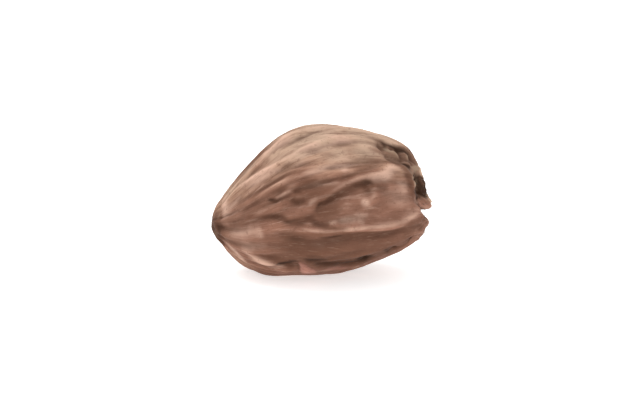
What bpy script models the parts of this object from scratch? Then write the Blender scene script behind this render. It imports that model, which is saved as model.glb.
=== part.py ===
"""A dried black cardamom pod, lying on its side on a small flat spot.

The husk is one closed body. It starts as a cube cut into even squares, whose corners are taken as
directions from the pod's middle. Each direction is carried out to the smooth skin, and then moved
along the skin's normal by the relief: ribs and creases that run from the stalk scar at the narrow
end to the blunt end, where the husk has dried into a hollow and split into two lips.

The pod lies along X with its narrow end at -X. Angles round it start at the near side, -Y, and
rise towards the top, +Z. The origin is on the floor under the middle of the pod.
"""

import math
import random
from typing import NamedTuple

import bmesh
import bpy
import numpy as np

MM = 0.001

# Driving dimensions, in millimetres
HALF_LENGTH = 14.825
MIDDLE_X = -0.175
WIDTH_SHARE = 0.95

# The smooth skin at stations 15 degrees apart on the meridian, from the narrow end to the blunt end.
# FULLNESS is the half-thickness of the ellipse that the skin touches there.
FULLNESS = (9.0, 7.5, 7.8, 9.0, 9.85, 10.3, 10.3, 10.1, 10.1, 10.75, 12.0, 13.2, 13.4)
AXIS_HEIGHT = (7.0, 7.15, 7.25, 7.6, 8.55, 9.6, 9.95, 10.25, 10.5, 10.6, 10.4, 9.45, 9.0)
AXIS_SIDE = (0.9, 0.8, 0.7, 0.55, 0.42, 0.42, 0.42, 0.42, 0.3, 0.1, -0.2, -0.5, -0.6)

# The husk holds three seed chambers, so its section is faintly three-cornered.
CORNER_RISE = 0.042
CORNER_ANGLE = math.radians(-12)

# Low waves that run along the husk between the ribs: height, ribs round the pod, waves drawn
WAVE_HEIGHT = 0.11
WAVE_RIBS = (17, 42)
WAVE_COUNT = 14
FULL_RELIEF_RADIUS = 5.0

# Ribs of the far side and the underside: angles in degrees, lengths in millimetres
FAR_RIBS_FROM, FAR_RIBS_TO, FAR_RIB_STEP = 121, 282, 15.5
FAR_RIB_HEIGHT = (0.3, 0.6)
FAR_RIB_WIDTH = (0.7, 1.3)
FAR_RIB_WANDER = 5.0

# The spot that the pod rests on
REST_X = -1.0
REST_RADIUS = 5.5
REST_SMOOTHING = 0.15

# The cube's grid is turned so that the split runs along a row of squares, and drawn towards the
# blunt end, where the relief is finest.
SQUARES_PER_SIDE = 31
GRID_TURN = math.radians(14)
GRID_PULL = 0.3
PATH_STEP = 0.25
SEED = 7


class Fold(NamedTuple):
    """A rib or a crease: a line over the skin, and how the skin rises or sinks beside it.

    path holds places on the skin as (millimetres along the pod, degrees round it). height is
    above the skin, and is negative for a crease. above and below are the widths of its two
    flanks, and crest is 1 for a sharp edge and 2 for a round back.
    """

    path: tuple
    height: float
    above: float
    below: float
    crest: float = 1.6


# Ribs above the keel, on the near side
UPPER_RIBS = (
    Fold(((-13.6, 42), (-12.5, 50), (-10.5, 65), (-7.0, 76), (-3.7, 86), (2.5, 103)), 0.26, 1.0, 0.8),
    Fold(((-12.4, 46), (-10.3, 55), (-6.6, 54), (-3.6, 57), (0.0, 67), (7.5, 79)), 0.36, 1.0, 0.75),
    Fold(((-3.4, 46), (-1.0, 51), (1.7, 57), (4.0, 62), (7.0, 68)), 0.26, 0.7, 0.6),
    Fold(((-11.2, 27), (-8.5, 32), (-4.9, 34), (-2.7, 39), (1.2, 45), (4.2, 50)), 0.44, 0.9, 0.7),
    Fold(((-9.5, 20), (-7.1, 23), (-4.1, 27), (-1.8, 31), (0.8, 35), (3.9, 39), (6.4, 45)), 0.34, 0.7, 0.6),
    Fold(((-10.8, 9), (-9.2, 13), (-6.2, 14), (-4.3, 17)), 0.36, 0.9, 0.6),
    Fold(((-1.0, 11), (1.3, 19), (3.5, 27), (5.7, 35), (9.1, 46), (10.8, 51), (12.6, 64)), 0.62, 1.6, 0.75),
    Fold(((1.0, 82), (5.0, 90), (9.0, 97), (12.0, 101)), 0.30, 1.0, 0.8),
)
# The long rib where the near side turns under
KEEL = Fold(
    ((-13.3, -10), (-9.9, -3), (-5.0, -2), (-2.2, -6), (0.8, -10), (9.5, -13), (11.8, -8), (13.4, 2)),
    0.55,
    1.2,
    0.8,
)
# Ribs of the belly, and short swellings between the keel and the slanting rib
LOWER_RIBS = (
    Fold(((-12.6, -22), (-8.8, -34), (-6.1, -43), (-3.9, -55)), 0.40, 1.0, 0.8),
    Fold(((-1.9, -41), (-1.8, -57)), 0.35, 0.8, 0.8),
    Fold(((-1.5, -24), (2.8, -31), (6.2, -40), (10.5, -40)), 0.26, 1.2, 0.9),
    Fold(((7.6, 21), (7.2, 14), (6.0, 8)), 0.36, 0.7, 0.7),
    Fold(((1.0, -3), (2.6, -3)), 0.22, 0.6, 0.6),
    Fold(((3.9, -4), (5.4, -4)), 0.18, 0.6, 0.6),
    Fold(((7.0, 0), (9.5, 5), (12.6, 16)), 0.26, 1.1, 0.9),
)
WAVY_CREASE = Fold(
    ((-9.9, 8), (-8.3, 9), (-6.7, 9), (-5.4, 5), (-4.0, 0), (-2.7, 0), (-1.4, 2), (-0.1, -3), (1.9, -6)),
    -0.42,
    0.6,
    0.6,
)
CREASES = (
    WAVY_CREASE,
    Fold(((-4.4, 70), (-1.4, 81), (1.4, 91)), -0.20, 0.6, 0.6),
    Fold(((-3.6, 50), (-1.6, 55), (0.4, 61), (2.8, 67), (5.6, 72)), -0.30, 0.6, 0.6),
    Fold(((-9.4, 67), (-8.2, 69), (-6.6, 68)), -0.26, 0.7, 0.7),
    Fold(((-8.4, 45), (-6.5, 41), (-4.6, 43), (-1.8, 46)), -0.32, 0.6, 0.6),
    Fold(((-3.8, 31), (-0.1, 38), (2.2, 41)), -0.26, 0.5, 0.5),
    Fold(((-7.4, 19), (-5.4, 21), (-2.7, 25), (-0.5, 27), (2.1, 31), (4.2, 34)), -0.32, 0.6, 0.6),
    Fold(((-0.8, 6), (0.6, 13), (2.1, 20), (3.9, 26), (5.7, 28), (7.1, 28)), -0.56, 0.75, 1.1),
    Fold(((7.4, 25), (9.2, 24)), -0.30, 0.8, 0.8),
    Fold(((-3.0, -14), (0.4, -15), (2.8, -16), (6.2, -19), (9.5, -21), (11.6, -17)), -0.36, 0.7, 1.2),
    Fold(((3.2, 43), (5.5, 48), (8.8, 50)), -0.50, 0.9, 0.8),
    Fold(((-6.4, -40), (-2.9, -44)), -0.55, 0.9, 0.9),
    Fold(((-0.8, -40), (1.7, -48), (4.2, -56), (7.2, -56)), -0.55, 1.1, 1.0),
    Fold(((-12.9, -22), (-13.6, 30), (-13.7, 80)), -0.20, 0.6, 0.6),
)
# The shrunken hollows beside the blunt end, with a low lump between two of them, and small pits
HOLLOWS = (
    Fold(((7.6, 78), (9.4, 76), (11.4, 79)), -0.95, 1.2, 0.9),
    Fold(((8.7, 63), (10.2, 60), (12.0, 65)), -0.75, 0.8, 0.7),
    Fold(((9.4, 69), (11.0, 69)), 0.30, 0.6, 0.6),
    Fold(((12.2, 84), (12.7, 70)), -0.60, 0.8, 0.8),
    Fold(((13.1, 62), (13.8, 48), (13.4, 30)), -1.50, 1.3, 1.5, 2.4),
    Fold(((12.1, -43), (12.4, -45)), -0.50, 0.7, 0.7),
    Fold(((9.8, -51), (10.4, -51)), -0.40, 0.7, 0.7),
    Fold(((6.2, -52), (7.0, -54)), -0.40, 0.7, 0.7),
)
# A low swelling beside the resting spot, which brings it under the pod's middle
UNDERSIDE_SWELLING = Fold(((0.5, 264), (3.2, 261)), 0.40, 2.4, 2.4, 2.0)
# The upper lip, the split across the end's face, and the lower lip
SPLIT_END = (
    Fold(((13.8, 27), (14.58, 95), (13.8, 178)), 0.50, 0.7, 0.6, 2.0),
    Fold(((13.3, 14), (14.3, 14), (14.64, 0), (14.3, 194), (13.3, 194)), -1.40, 0.65, 0.65, 2.0),
    Fold(((13.8, -4), (14.55, -85), (13.8, -152)), 0.35, 0.6, 0.8, 2.0),
)
HUSK_COLOUR = (0.27, 0.145, 0.095, 1.0)


def unit(vectors: np.ndarray) -> np.ndarray:
    """The vectors at length 1."""
    return vectors / np.linalg.norm(vectors, axis=-1, keepdims=True)


def smooth_line(knots: np.ndarray, places: np.ndarray) -> np.ndarray:
    """A smooth line through evenly spaced knots (a Catmull-Rom spline), read at these places."""
    last = len(knots) - 1
    first = np.clip(places.astype(int), 0, last - 1)
    t = (places - first).reshape(-1, *[1] * (knots.ndim - 1))
    padded = np.concatenate([[2 * knots[0] - knots[1]], knots, [2 * knots[-1] - knots[-2]]])
    a, b, c, d = (padded[first + i] for i in range(4))
    return b + 0.5 * t * (c - a + t * (2 * a - 5 * b + 4 * c - d + t * (3 * (b - c) + d - a)))


def direction_of(along: float, degrees: float) -> tuple:
    """The direction from the pod's middle that the skin is carried along to reach this place."""
    x = (along - MIDDLE_X) / HALF_LENGTH
    rest = math.sqrt(1 - x * x)
    turn = math.radians(degrees)
    return (x, -rest * math.cos(turn), rest * math.sin(turn))


def angles_round(directions: np.ndarray) -> np.ndarray:
    """Each direction's angle round the pod, in radians."""
    return np.arctan2(directions[:, 2], -directions[:, 1])


def skin(directions: np.ndarray) -> np.ndarray:
    """The smooth skin in these directions, in millimetres."""
    directions = unit(directions)
    stations = np.degrees(np.arccos(-directions[:, 0])) / 15
    fullness, height, side = (
        smooth_line(np.array(knots), stations) for knots in (FULLNESS, AXIS_HEIGHT, AXIS_SIDE)
    )
    corners = 1 + CORNER_RISE * np.cos(3 * (angles_round(directions) - CORNER_ANGLE))
    reach = fullness * corners
    return np.stack(
        [
            MIDDLE_X + HALF_LENGTH * directions[:, 0],
            side + WIDTH_SHARE * reach * directions[:, 1],
            height + reach * directions[:, 2],
        ],
        axis=1,
    )


def skin_normals(directions: np.ndarray) -> np.ndarray:
    """The skin's outward normals, from how it moves as a direction turns a little two ways."""
    step = 1e-4
    away = np.where(np.abs(directions[:, :1]) < 0.9, [[1.0, 0.0, 0.0]], [[0.0, 1.0, 0.0]])
    first = unit(np.cross(directions, away))
    second = np.cross(directions, first)
    here = skin(directions)
    return unit(
        np.cross(skin(directions + step * first) - here, skin(directions + step * second) - here)
    )


def fold_relief(fold: Fold, points: np.ndarray) -> np.ndarray:
    """How far this fold moves each point of the skin along its normal.

    The height is full on the fold's line, falls off to each side over that side's own width,
    and dies away at both ends of the line.
    """
    knots = np.array([direction_of(*place) for place in fold.path])
    rough = skin(knots)
    length = np.linalg.norm(np.diff(rough, axis=0), axis=1).sum()
    count = max(8, int(length / PATH_STEP))
    ways = unit(smooth_line(knots, np.linspace(0, len(knots) - 1, count)))
    line = skin(ways)
    step = np.gradient(line, axis=0)
    spacing = np.linalg.norm(step, axis=1)
    forward = step / spacing[:, None]
    upward = np.cross(skin_normals(ways), forward)
    nearest = ((points[:, None, :] - line[None, :, :]) ** 2).sum(axis=2).argmin(axis=1)
    offset = points - line[nearest]
    onward = (offset * forward[nearest]).sum(axis=1)
    aside = np.sqrt(np.maximum(0, (offset**2).sum(axis=1) - onward**2))
    width = np.where((offset * upward[nearest]).sum(axis=1) > 0, fold.above, fold.below)
    place = nearest + onward / spacing[nearest]
    share = np.clip(place / (count - 1), 0, 1)
    past_end = (place - share * (count - 1)) * spacing[nearest]
    distance = np.hypot(aside / width, 2 * past_end / (fold.above + fold.below))
    taper = np.sqrt(np.sin(math.pi * (0.03 + 0.94 * share)))
    return fold.height * taper * np.exp(-(distance**fold.crest))


def far_ribs(rng: random.Random) -> list:
    """Ribs for the side that the reference view doesn't show: evenly spread, each one wandering."""
    ribs = []
    angle = FAR_RIBS_FROM
    while angle < FAR_RIBS_TO:
        start, end = rng.uniform(-13.2, -10.5), rng.uniform(8.5, 13.4)
        knots = 6
        path = []
        for i in range(knots):
            along = start + (end - start) * i / (knots - 1)
            path.append((along, angle + rng.uniform(-FAR_RIB_WANDER, FAR_RIB_WANDER)))
        height, width = rng.uniform(*FAR_RIB_HEIGHT), rng.uniform(*FAR_RIB_WIDTH)
        ribs.append(Fold(tuple(path), height, width, 0.8 * width))
        angle += FAR_RIB_STEP
    return ribs


def wave_relief(points: np.ndarray, directions: np.ndarray, rng: random.Random) -> np.ndarray:
    """Low uneven waves between the ribs: many cosines round the pod that drift along it."""
    turn = angles_round(directions)
    total = np.zeros(len(points))
    for _ in range(WAVE_COUNT):
        ribs = rng.randint(*WAVE_RIBS)
        drift, phase = rng.uniform(-0.6, 0.6), rng.uniform(0, 2 * math.pi)
        total += np.cos(ribs * turn + drift * points[:, 0] + phase)
    radius = np.hypot(directions[:, 1], directions[:, 2]) * FULLNESS[6]
    return WAVE_HEIGHT * total / math.sqrt(WAVE_COUNT) * np.minimum(1, radius / FULL_RELIEF_RADIUS)


def resting_share(points: np.ndarray) -> np.ndarray:
    """How much of its relief each point keeps: little where the husk rests on the floor."""
    distance = np.linalg.norm(points - [REST_X, 0, 0], axis=1) / REST_RADIUS
    near = np.clip(distance - 0.3, 0, 1)
    return REST_SMOOTHING + (1 - REST_SMOOTHING) * near * near * (3 - 2 * near)


def husk_surface(directions: np.ndarray) -> np.ndarray:
    """The finished skin in these directions, in millimetres."""
    rng = random.Random(SEED)
    points = skin(directions)
    relief = wave_relief(points, directions, rng)
    folds = [*UPPER_RIBS, KEEL, *LOWER_RIBS, *CREASES, *HOLLOWS, *SPLIT_END, *far_ribs(rng)]
    for fold in folds:
        relief += fold_relief(fold, points)
    relief = relief * resting_share(points) + fold_relief(UNDERSIDE_SWELLING, points)
    return points + skin_normals(directions) * relief[:, None]


def grid_directions(corners: np.ndarray) -> np.ndarray:
    """The cube's corners as directions: spread evenly, turned about X and drawn towards +X."""
    x, y, z = unit(np.tan(corners * math.pi / 4)).T
    cos, sin = math.cos(GRID_TURN), math.sin(GRID_TURN)
    return unit(np.stack([x + GRID_PULL, y * cos + z * sin, z * cos - y * sin], axis=1))


def husk_material() -> bpy.types.Material:
    """Dull reddish brown husk."""
    material = bpy.data.materials.new("husk")
    material.use_nodes = True
    shader = material.node_tree.nodes["Principled BSDF"]
    shader.inputs["Base Color"].default_value = HUSK_COLOUR
    shader.inputs["Roughness"].default_value = 0.62
    shader.inputs["Metallic"].default_value = 0.0
    material.diffuse_color = HUSK_COLOUR
    return material


def make_pod() -> bpy.types.Object:
    """The pod: a cube of even squares blown out to the husk, then cut flat where it rests."""
    bm = bmesh.new()
    bmesh.ops.create_cube(bm, size=2)
    bmesh.ops.subdivide_edges(bm, edges=bm.edges[:], cuts=SQUARES_PER_SIDE - 1, use_grid_fill=True)
    corners = np.array([vertex.co for vertex in bm.verts])
    directions = grid_directions(corners)
    for vertex, place in zip(bm.verts, husk_surface(directions) * MM):
        vertex.co = place
    cut = bmesh.ops.bisect_plane(
        bm,
        geom=bm.verts[:] + bm.edges[:] + bm.faces[:],
        dist=1e-6,
        plane_co=(0, 0, 0),
        plane_no=(0, 0, -1),
        clear_outer=True,
    )
    rim = [item for item in cut["geom_cut"] if isinstance(item, bmesh.types.BMEdge)]
    bmesh.ops.edgeloop_fill(bm, edges=rim)
    bmesh.ops.recalc_face_normals(bm, faces=bm.faces[:])
    mesh = bpy.data.meshes.new("pod")
    bm.to_mesh(mesh)
    bm.free()
    mesh.shade_smooth()
    mesh.materials.append(husk_material())
    pod = bpy.data.objects.new("pod", mesh)
    bpy.context.collection.objects.link(pod)
    return pod


def main() -> None:
    """Clears the scene and makes the pod."""
    for old in list(bpy.data.objects):
        bpy.data.objects.remove(old)
    make_pod()


main()
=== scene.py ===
"""The looks of a dried black cardamom pod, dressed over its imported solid.

The pod lies along X on a small flat spot, with its narrow stalk end at -X. Angles round it start at
the near side, -Y, and rise towards the top, +Z. Lengths are in millimetres until a mesh is made.
"""

import logging
import math
import random
from dataclasses import dataclass, field
from enum import Enum

import bpy
import numpy as np
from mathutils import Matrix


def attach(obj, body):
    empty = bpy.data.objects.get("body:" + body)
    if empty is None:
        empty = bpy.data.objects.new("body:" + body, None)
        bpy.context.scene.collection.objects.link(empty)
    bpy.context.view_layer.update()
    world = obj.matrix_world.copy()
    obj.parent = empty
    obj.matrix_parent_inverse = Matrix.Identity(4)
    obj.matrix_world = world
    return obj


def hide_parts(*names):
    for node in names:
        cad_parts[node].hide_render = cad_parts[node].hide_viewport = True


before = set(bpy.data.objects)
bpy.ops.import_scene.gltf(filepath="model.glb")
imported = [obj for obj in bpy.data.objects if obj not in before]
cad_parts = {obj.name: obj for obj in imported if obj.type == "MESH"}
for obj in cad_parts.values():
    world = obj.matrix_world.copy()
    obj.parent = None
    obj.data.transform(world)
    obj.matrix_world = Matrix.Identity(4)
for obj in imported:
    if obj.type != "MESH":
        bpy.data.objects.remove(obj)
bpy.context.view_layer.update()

MM = 0.001
log = logging.getLogger("pod")

Array = np.ndarray
Colour = tuple[float, float, float]
Place = tuple[float, float]


class End(Enum):
    """The pod's two ends, by the sign of X."""

    NARROW = -1
    BLUNT = 1


@dataclass(frozen=True)
class Stroke:
    """A line over the skin whose strength falls off to both sides.

    As a fold its strength is a height in millimetres, negative for a crease. As a coat of colour,
    stain and painted light and shade alike, its strength is a share of colour.

    Attributes:
        path: Places on the skin, as (millimetres along the pod, degrees round it).
        strength: The value on the line.
        above: Width of the flank on the line's upper side, in millimetres.
        below: Width of the flank on its lower side.
        crest: 1 for a sharp edge, 2 for a round back, more for a flat one.
    """

    path: tuple[Place, ...]
    strength: float
    above: float
    below: float
    crest: float = 1.6


def strokes_of(*rows: tuple) -> tuple[Stroke, ...]:
    """Makes strokes of rows that give the path, the strength, both flanks and maybe the crest."""
    return tuple(Stroke(*row) for row in rows)


# Ribs, folds and creases that the solid has too
UPPER_RIBS = strokes_of(
    (((-13.6, 42), (-12.5, 50), (-10.5, 65), (-7.0, 76), (-3.7, 86), (2.5, 103)), 0.26, 1.0, 0.8),
    (((-12.4, 46), (-10.3, 55), (-6.6, 54), (-3.6, 57), (0.0, 67), (7.5, 79)), 0.36, 1.0, 0.75),
    (((-3.4, 46), (-1.0, 51), (1.7, 57), (4.0, 62), (7.0, 68)), 0.26, 0.7, 0.6),
    (((-11.2, 27), (-8.5, 32), (-4.9, 34), (-2.7, 39), (1.2, 45), (4.2, 50)), 0.44, 0.9, 0.7),
    (((-9.5, 20), (-7.1, 23), (-4.1, 27), (-1.8, 31), (0.8, 35), (3.9, 39), (6.4, 45)),
     0.34, 0.7, 0.6),
    (((-10.8, 9), (-9.2, 13), (-6.2, 14), (-4.3, 17)), 0.36, 0.9, 0.6),
    (((-1.0, 11), (1.3, 19), (3.5, 27), (5.7, 35), (9.1, 46), (10.8, 51), (12.6, 64)),
     0.62, 1.6, 0.75),
    (((1.0, 82), (5.0, 90), (9.0, 97), (12.0, 101)), 0.30, 1.0, 0.8),
)
KEEL = Stroke(
    (
        (-13.3, -10), (-9.9, -3), (-5.0, -2), (-2.2, -6),
        (0.8, -10), (9.5, -13), (11.8, -8), (13.4, 2),
    ),
    0.55,
    1.2,
    0.8,
)
LOWER_RIBS = strokes_of(
    (((-12.6, -22), (-8.8, -34), (-6.1, -43), (-3.9, -55)), 0.40, 1.0, 0.8),
    (((-1.9, -41), (-1.8, -57)), 0.35, 0.8, 0.8),
    (((-1.5, -24), (2.8, -31), (6.2, -40), (10.5, -40)), 0.26, 1.2, 0.9),
    (((7.6, 21), (7.2, 14), (6.0, 8)), 0.36, 0.7, 0.7),
    (((1.0, -3), (2.6, -3)), 0.22, 0.6, 0.6),
    (((3.9, -4), (5.4, -4)), 0.18, 0.6, 0.6),
    (((7.0, 0), (9.5, 5), (12.6, 16)), 0.26, 1.1, 0.9),
)
CREASES = strokes_of(
    (((-9.9, 8), (-8.3, 9), (-6.7, 9), (-5.4, 5), (-4.0, 0), (-2.7, 0), (-1.4, 2), (-0.1, -3),
      (1.9, -6)),
     -0.42, 0.6, 0.6),
    (((-4.4, 70), (-1.4, 81), (1.4, 91)), -0.20, 0.6, 0.6),
    (((-3.6, 50), (-1.6, 55), (0.4, 61), (2.8, 67), (5.6, 72)), -0.30, 0.6, 0.6),
    (((-9.4, 67), (-8.2, 69), (-6.6, 68)), -0.26, 0.7, 0.7),
    (((-8.4, 45), (-6.5, 41), (-4.6, 43), (-1.8, 46)), -0.32, 0.6, 0.6),
    (((-3.8, 31), (-0.1, 38), (2.2, 41)), -0.26, 0.5, 0.5),
    (((-7.4, 19), (-5.4, 21), (-2.7, 25), (-0.5, 27), (2.1, 31), (4.2, 34)), -0.32, 0.6, 0.6),
    (((-0.8, 6), (0.6, 13), (2.1, 20), (3.9, 26), (5.7, 28), (7.1, 28)), -0.56, 0.75, 1.1),
    (((7.4, 25), (9.2, 24)), -0.30, 0.8, 0.8),
    (((-3.0, -14), (0.4, -15), (2.8, -16), (6.2, -19), (9.5, -21), (11.6, -17)), -0.36, 0.7, 1.2),
    (((3.2, 43), (5.5, 48), (8.8, 50)), -0.50, 0.9, 0.8),
    (((-6.4, -40), (-2.9, -44)), -0.55, 0.9, 0.9),
    (((-0.8, -40), (1.7, -48), (4.2, -56), (7.2, -56)), -0.55, 1.1, 1.0),
    (((-12.9, -22), (-13.6, 30), (-13.7, 80)), -0.20, 0.6, 0.6),
)
HOLLOWS = strokes_of(
    (((7.6, 78), (9.4, 76), (11.4, 79)), -0.95, 1.2, 0.9),
    (((8.7, 63), (10.2, 60), (12.0, 65)), -0.75, 0.8, 0.7),
    (((9.4, 69), (11.0, 69)), 0.30, 0.6, 0.6),
    (((12.2, 84), (12.7, 70)), -0.60, 0.8, 0.8),
    (((13.1, 62), (13.8, 48), (13.4, 30)), -1.50, 1.3, 1.5, 2.4),
    (((12.1, -43), (12.4, -45)), -0.50, 0.7, 0.7),
    (((9.8, -51), (10.4, -51)), -0.40, 0.7, 0.7),
    (((6.2, -52), (7.0, -54)), -0.40, 0.7, 0.7),
)
UNDERSIDE_SWELLING = Stroke(((0.5, 264), (3.2, 261)), 0.40, 2.4, 2.4, 2.0)
SPLIT_LINE = ((13.3, 14), (14.3, 14), (14.64, 0), (14.3, 194), (13.3, 194))
UPPER_LIP = ((13.8, 27), (14.58, 95), (13.8, 178))
LOWER_LIP = ((13.8, -4), (14.55, -85), (13.8, -152))
SPLIT_END = strokes_of(
    (UPPER_LIP, 0.50, 0.7, 0.6, 2.0),
    (SPLIT_LINE, -1.40, 0.65, 0.65, 2.0),
    (LOWER_LIP, 0.35, 0.6, 0.8, 2.0),
)

# Folds too fine for the solid: thin ribs and the cracks beside them
FINE_FOLDS = strokes_of(
    (((-12.5, 49), (-10.5, 65), (-8.2, 73), (-5.9, 79), (-3.7, 86), (-1.9, 92), (0.8, 102)),
     0.08, 0.35, 0.3),
    (((-6.4, 73), (-5.0, 78), (-3.6, 80)), 0.16, 0.8, 0.7),
    (((-3.4, 76), (-2.4, 78), (-1.2, 81)), -0.08, 0.3, 0.3),
    (((-2.1, 61), (-0.1, 67), (2.2, 72), (4.6, 75)), 0.08, 0.35, 0.3),
    (((-3.0, 53), (-1.2, 57), (0.8, 61), (2.4, 65)), 0.28, 0.6, 0.5),
    (((1.0, 62), (2.8, 65), (4.8, 68)), -0.08, 0.3, 0.3),
    (((-5.0, 49), (-4.1, 49), (-2.6, 50)), -0.08, 0.3, 0.3),
    (((-10.3, 56), (-8.6, 56), (-6.6, 54), (-5.6, 53)), 0.14, 0.35, 0.3),
    (((-9.4, 50), (-8.0, 48), (-6.4, 47)), 0.10, 0.5, 0.4),
    (((-8.4, 45), (-7.0, 42), (-5.2, 42), (-3.4, 44)), 0.22, 0.6, 0.5),
    (((-6.6, 31), (-4.0, 32), (-1.6, 36), (0.6, 39)), 0.18, 0.45, 0.4),
    (((-4.9, 24), (-4.2, 27), (-3.5, 28)), 0.18, 0.35, 0.3),
    (((-4.0, 19), (-3.0, 15), (-2.0, 17)), -0.24, 0.55, 0.5),
    (((-6.8, 23), (-5.9, 20), (-5.0, 21)), -0.18, 0.3, 0.3),
    (((-1.7, 15), (-1.0, 16), (-0.2, 18)), 0.14, 0.4, 0.3),
    (((0.8, 34), (2.6, 35.5), (4.4, 38)), 0.26, 0.45, 0.4),
    (((-0.6, 8), (-0.2, 12), (1.0, 15), (2.2, 19)), -0.19, 0.3, 0.4),
    (((4.4, 25), (5.6, 28), (6.5, 29)), -0.22, 0.4, 0.45),
    (((3.0, 32), (4.4, 35.5), (5.6, 38.5), (7.2, 43)), -0.26, 0.5, 0.4),
    (((-1.6, -4), (-0.4, -5.5), (1.5, -7), (4.5, -8), (8.0, -9.5), (11.0, -10.5)), 0.18, 0.4, 0.28),
    (((-4.0, -10), (-1.0, -9.5), (1.6, -10), (3.2, -11), (5.4, -13), (8.6, -16), (11.0, -15)),
     -0.32, 0.3, 0.8),
    (((-10.6, -13), (-8.6, -16), (-6.8, -17)), 0.24, 0.9, 1.1),
    (((-14.3, -9), (-13.0, -12), (-11.4, -15), (-9.2, -18)), 0.36, 0.6, 0.7, 2.2),
    (((-14.6, 12), (-13.2, 15), (-11.4, 20), (-9.4, 25)), 0.30, 0.5, 0.5, 2.2),
    (((-13.4, -36), (-12.4, -38), (-11.0, -42), (-9.4, -47)), 0.18, 0.5, 0.5),
    (((5.9, 13), (6.4, 10), (6.6, 8)), 0.10, 0.4, 0.4),
    (((7.0, 37), (8.6, 41), (9.4, 45)), 0.16, 0.5, 0.6),
    (((7.7, 79), (9.4, 79), (11.6, 82)), 0.46, 1.0, 0.8),
    (((8.7, 62), (10.2, 60), (12.0, 64)), 0.30, 0.7, 0.6),
    (((8.9, 78), (9.5, 71), (10.2, 63)), 0.32, 0.32, 0.32),
    (((11.5, 78), (11.8, 73), (11.9, 68)), 0.20, 0.28, 0.28),
    (((7.6, 81), (8.0, 75), (8.4, 67), (9.2, 57), (9.9, 51)), -0.32, 0.45, 0.5),
    (((10.4, 84), (10.7, 76), (10.9, 66), (10.8, 57)), -0.40, 0.45, 0.45),
    (((12.2, 72), (12.4, 64), (12.0, 55)), -0.26, 0.3, 0.35),
    (((12.3, 40), (12.5, 33), (12.4, 26)), 0.30, 0.45, 0.45),
    (((13.2, 15), (13.9, 20), (14.3, 25), (14.52, 33), (14.58, 44)), 0.30, 0.3, 0.3, 2.0),
    (((14.4, 32), (14.6, 60), (14.62, 110), (14.5, 150)), 0.24, 0.3, 0.3, 2.0),
    (((-3.3, -36), (-3.0, -46), (-3.0, -56)), -0.30, 0.3, 0.3),
    (((-2.6, -36), (-1.4, -45), (-0.6, -54)), -0.26, 0.3, 0.4),
    (((-9.8, -22), (-8.8, -29), (-7.4, -34), (-6.0, -38), (-4.8, -45)), 0.24, 0.5, 0.4),
    (((-9.2, -37), (-7.6, -41), (-6.0, -46)), -0.16, 0.5, 0.6),
    (((-0.6, -36), (1.0, -41), (3.0, -45), (5.4, -49)), -0.16, 0.6, 0.9),
    (((2.0, -24), (6.0, -31), (10.0, -33)), 0.10, 0.4, 0.35),
    (((5.6, -43), (6.2, -52), (6.5, -58)), -0.34, 0.5, 0.6),
    (((9.2, -40), (9.8, -48), (9.8, -56)), -0.24, 0.45, 0.45),
    (((13.8, 0), (14.2, -6), (14.5, -20), (14.5, -40)), -0.42, 0.4, 0.4),
    (((-1.2, 26.6), (0.8, 27), (2.4, 28.4)), 0.16, 0.4, 0.4),
    (((-2.8, 35.5), (-0.8, 37.5), (1.4, 39)), 0.22, 0.45, 0.4),
    (((-8.2, 30), (-6.3, 32), (-4.8, 33), (-3.8, 34.5)), 0.22, 0.3, 0.28),
    (((-6.4, 21.5), (-4.8, 23.3), (-3.4, 25)), 0.22, 0.3, 0.28),
    (((-6.0, 25), (-4.4, 26.2), (-2.6, 26.5)), -0.18, 0.28, 0.28),
    (((-9.0, 33), (-8.2, 37), (-7.4, 41)), 0.14, 0.35, 0.3),
    (((-7.0, 24), (-6.4, 22.5), (-5.8, 21)), -0.16, 0.25, 0.25),
    (((-3.6, 24.5), (-3.0, 23), (-2.4, 22)), -0.12, 0.25, 0.25),
    (((-13.4, 86), (-11.0, 92), (-8.0, 98), (-5.0, 103)), 0.10, 1.6, 1.4, 2.4),
    (((-5.2, 104), (-3.8, 104), (-2.2, 104)), -0.14, 1.4, 1.4, 2.0),
    (((8.4, 100), (9.8, 100), (11.2, 100)), -0.12, 0.9, 0.9, 2.0),
    (((13.6, 82), (14.1, 92), (14.4, 92)), 0.14, 0.4, 0.4),
    (((-10.4, 41), (-9.1, 43), (-7.6, 46), (-6.2, 48)), 0.10, 0.35, 0.3),
    (((-9.9, 62), (-9.2, 66), (-8.0, 67)), -0.10, 0.3, 0.3),
    (((-10.4, -52), (-8.4, -66), (-6.4, -76)), -0.14, 1.4, 1.4, 2.0),
    (((-0.4, -74), (3.0, -80), (6.6, -85)), -0.14, 1.4, 1.4, 2.0),
    (((10.8, -68), (12.4, -66), (13.5, -54)), -0.12, 0.9, 0.9, 2.0),
)

# The torn corner of the upper lip, which sticks out beyond the split
LIP_CORNER = strokes_of(
    (((13.5, 14), (14.1, 19), (14.35, 24), (14.5, 32), (14.58, 46)), 1.0, 0.35, 0.35, 2.0),
)
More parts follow.
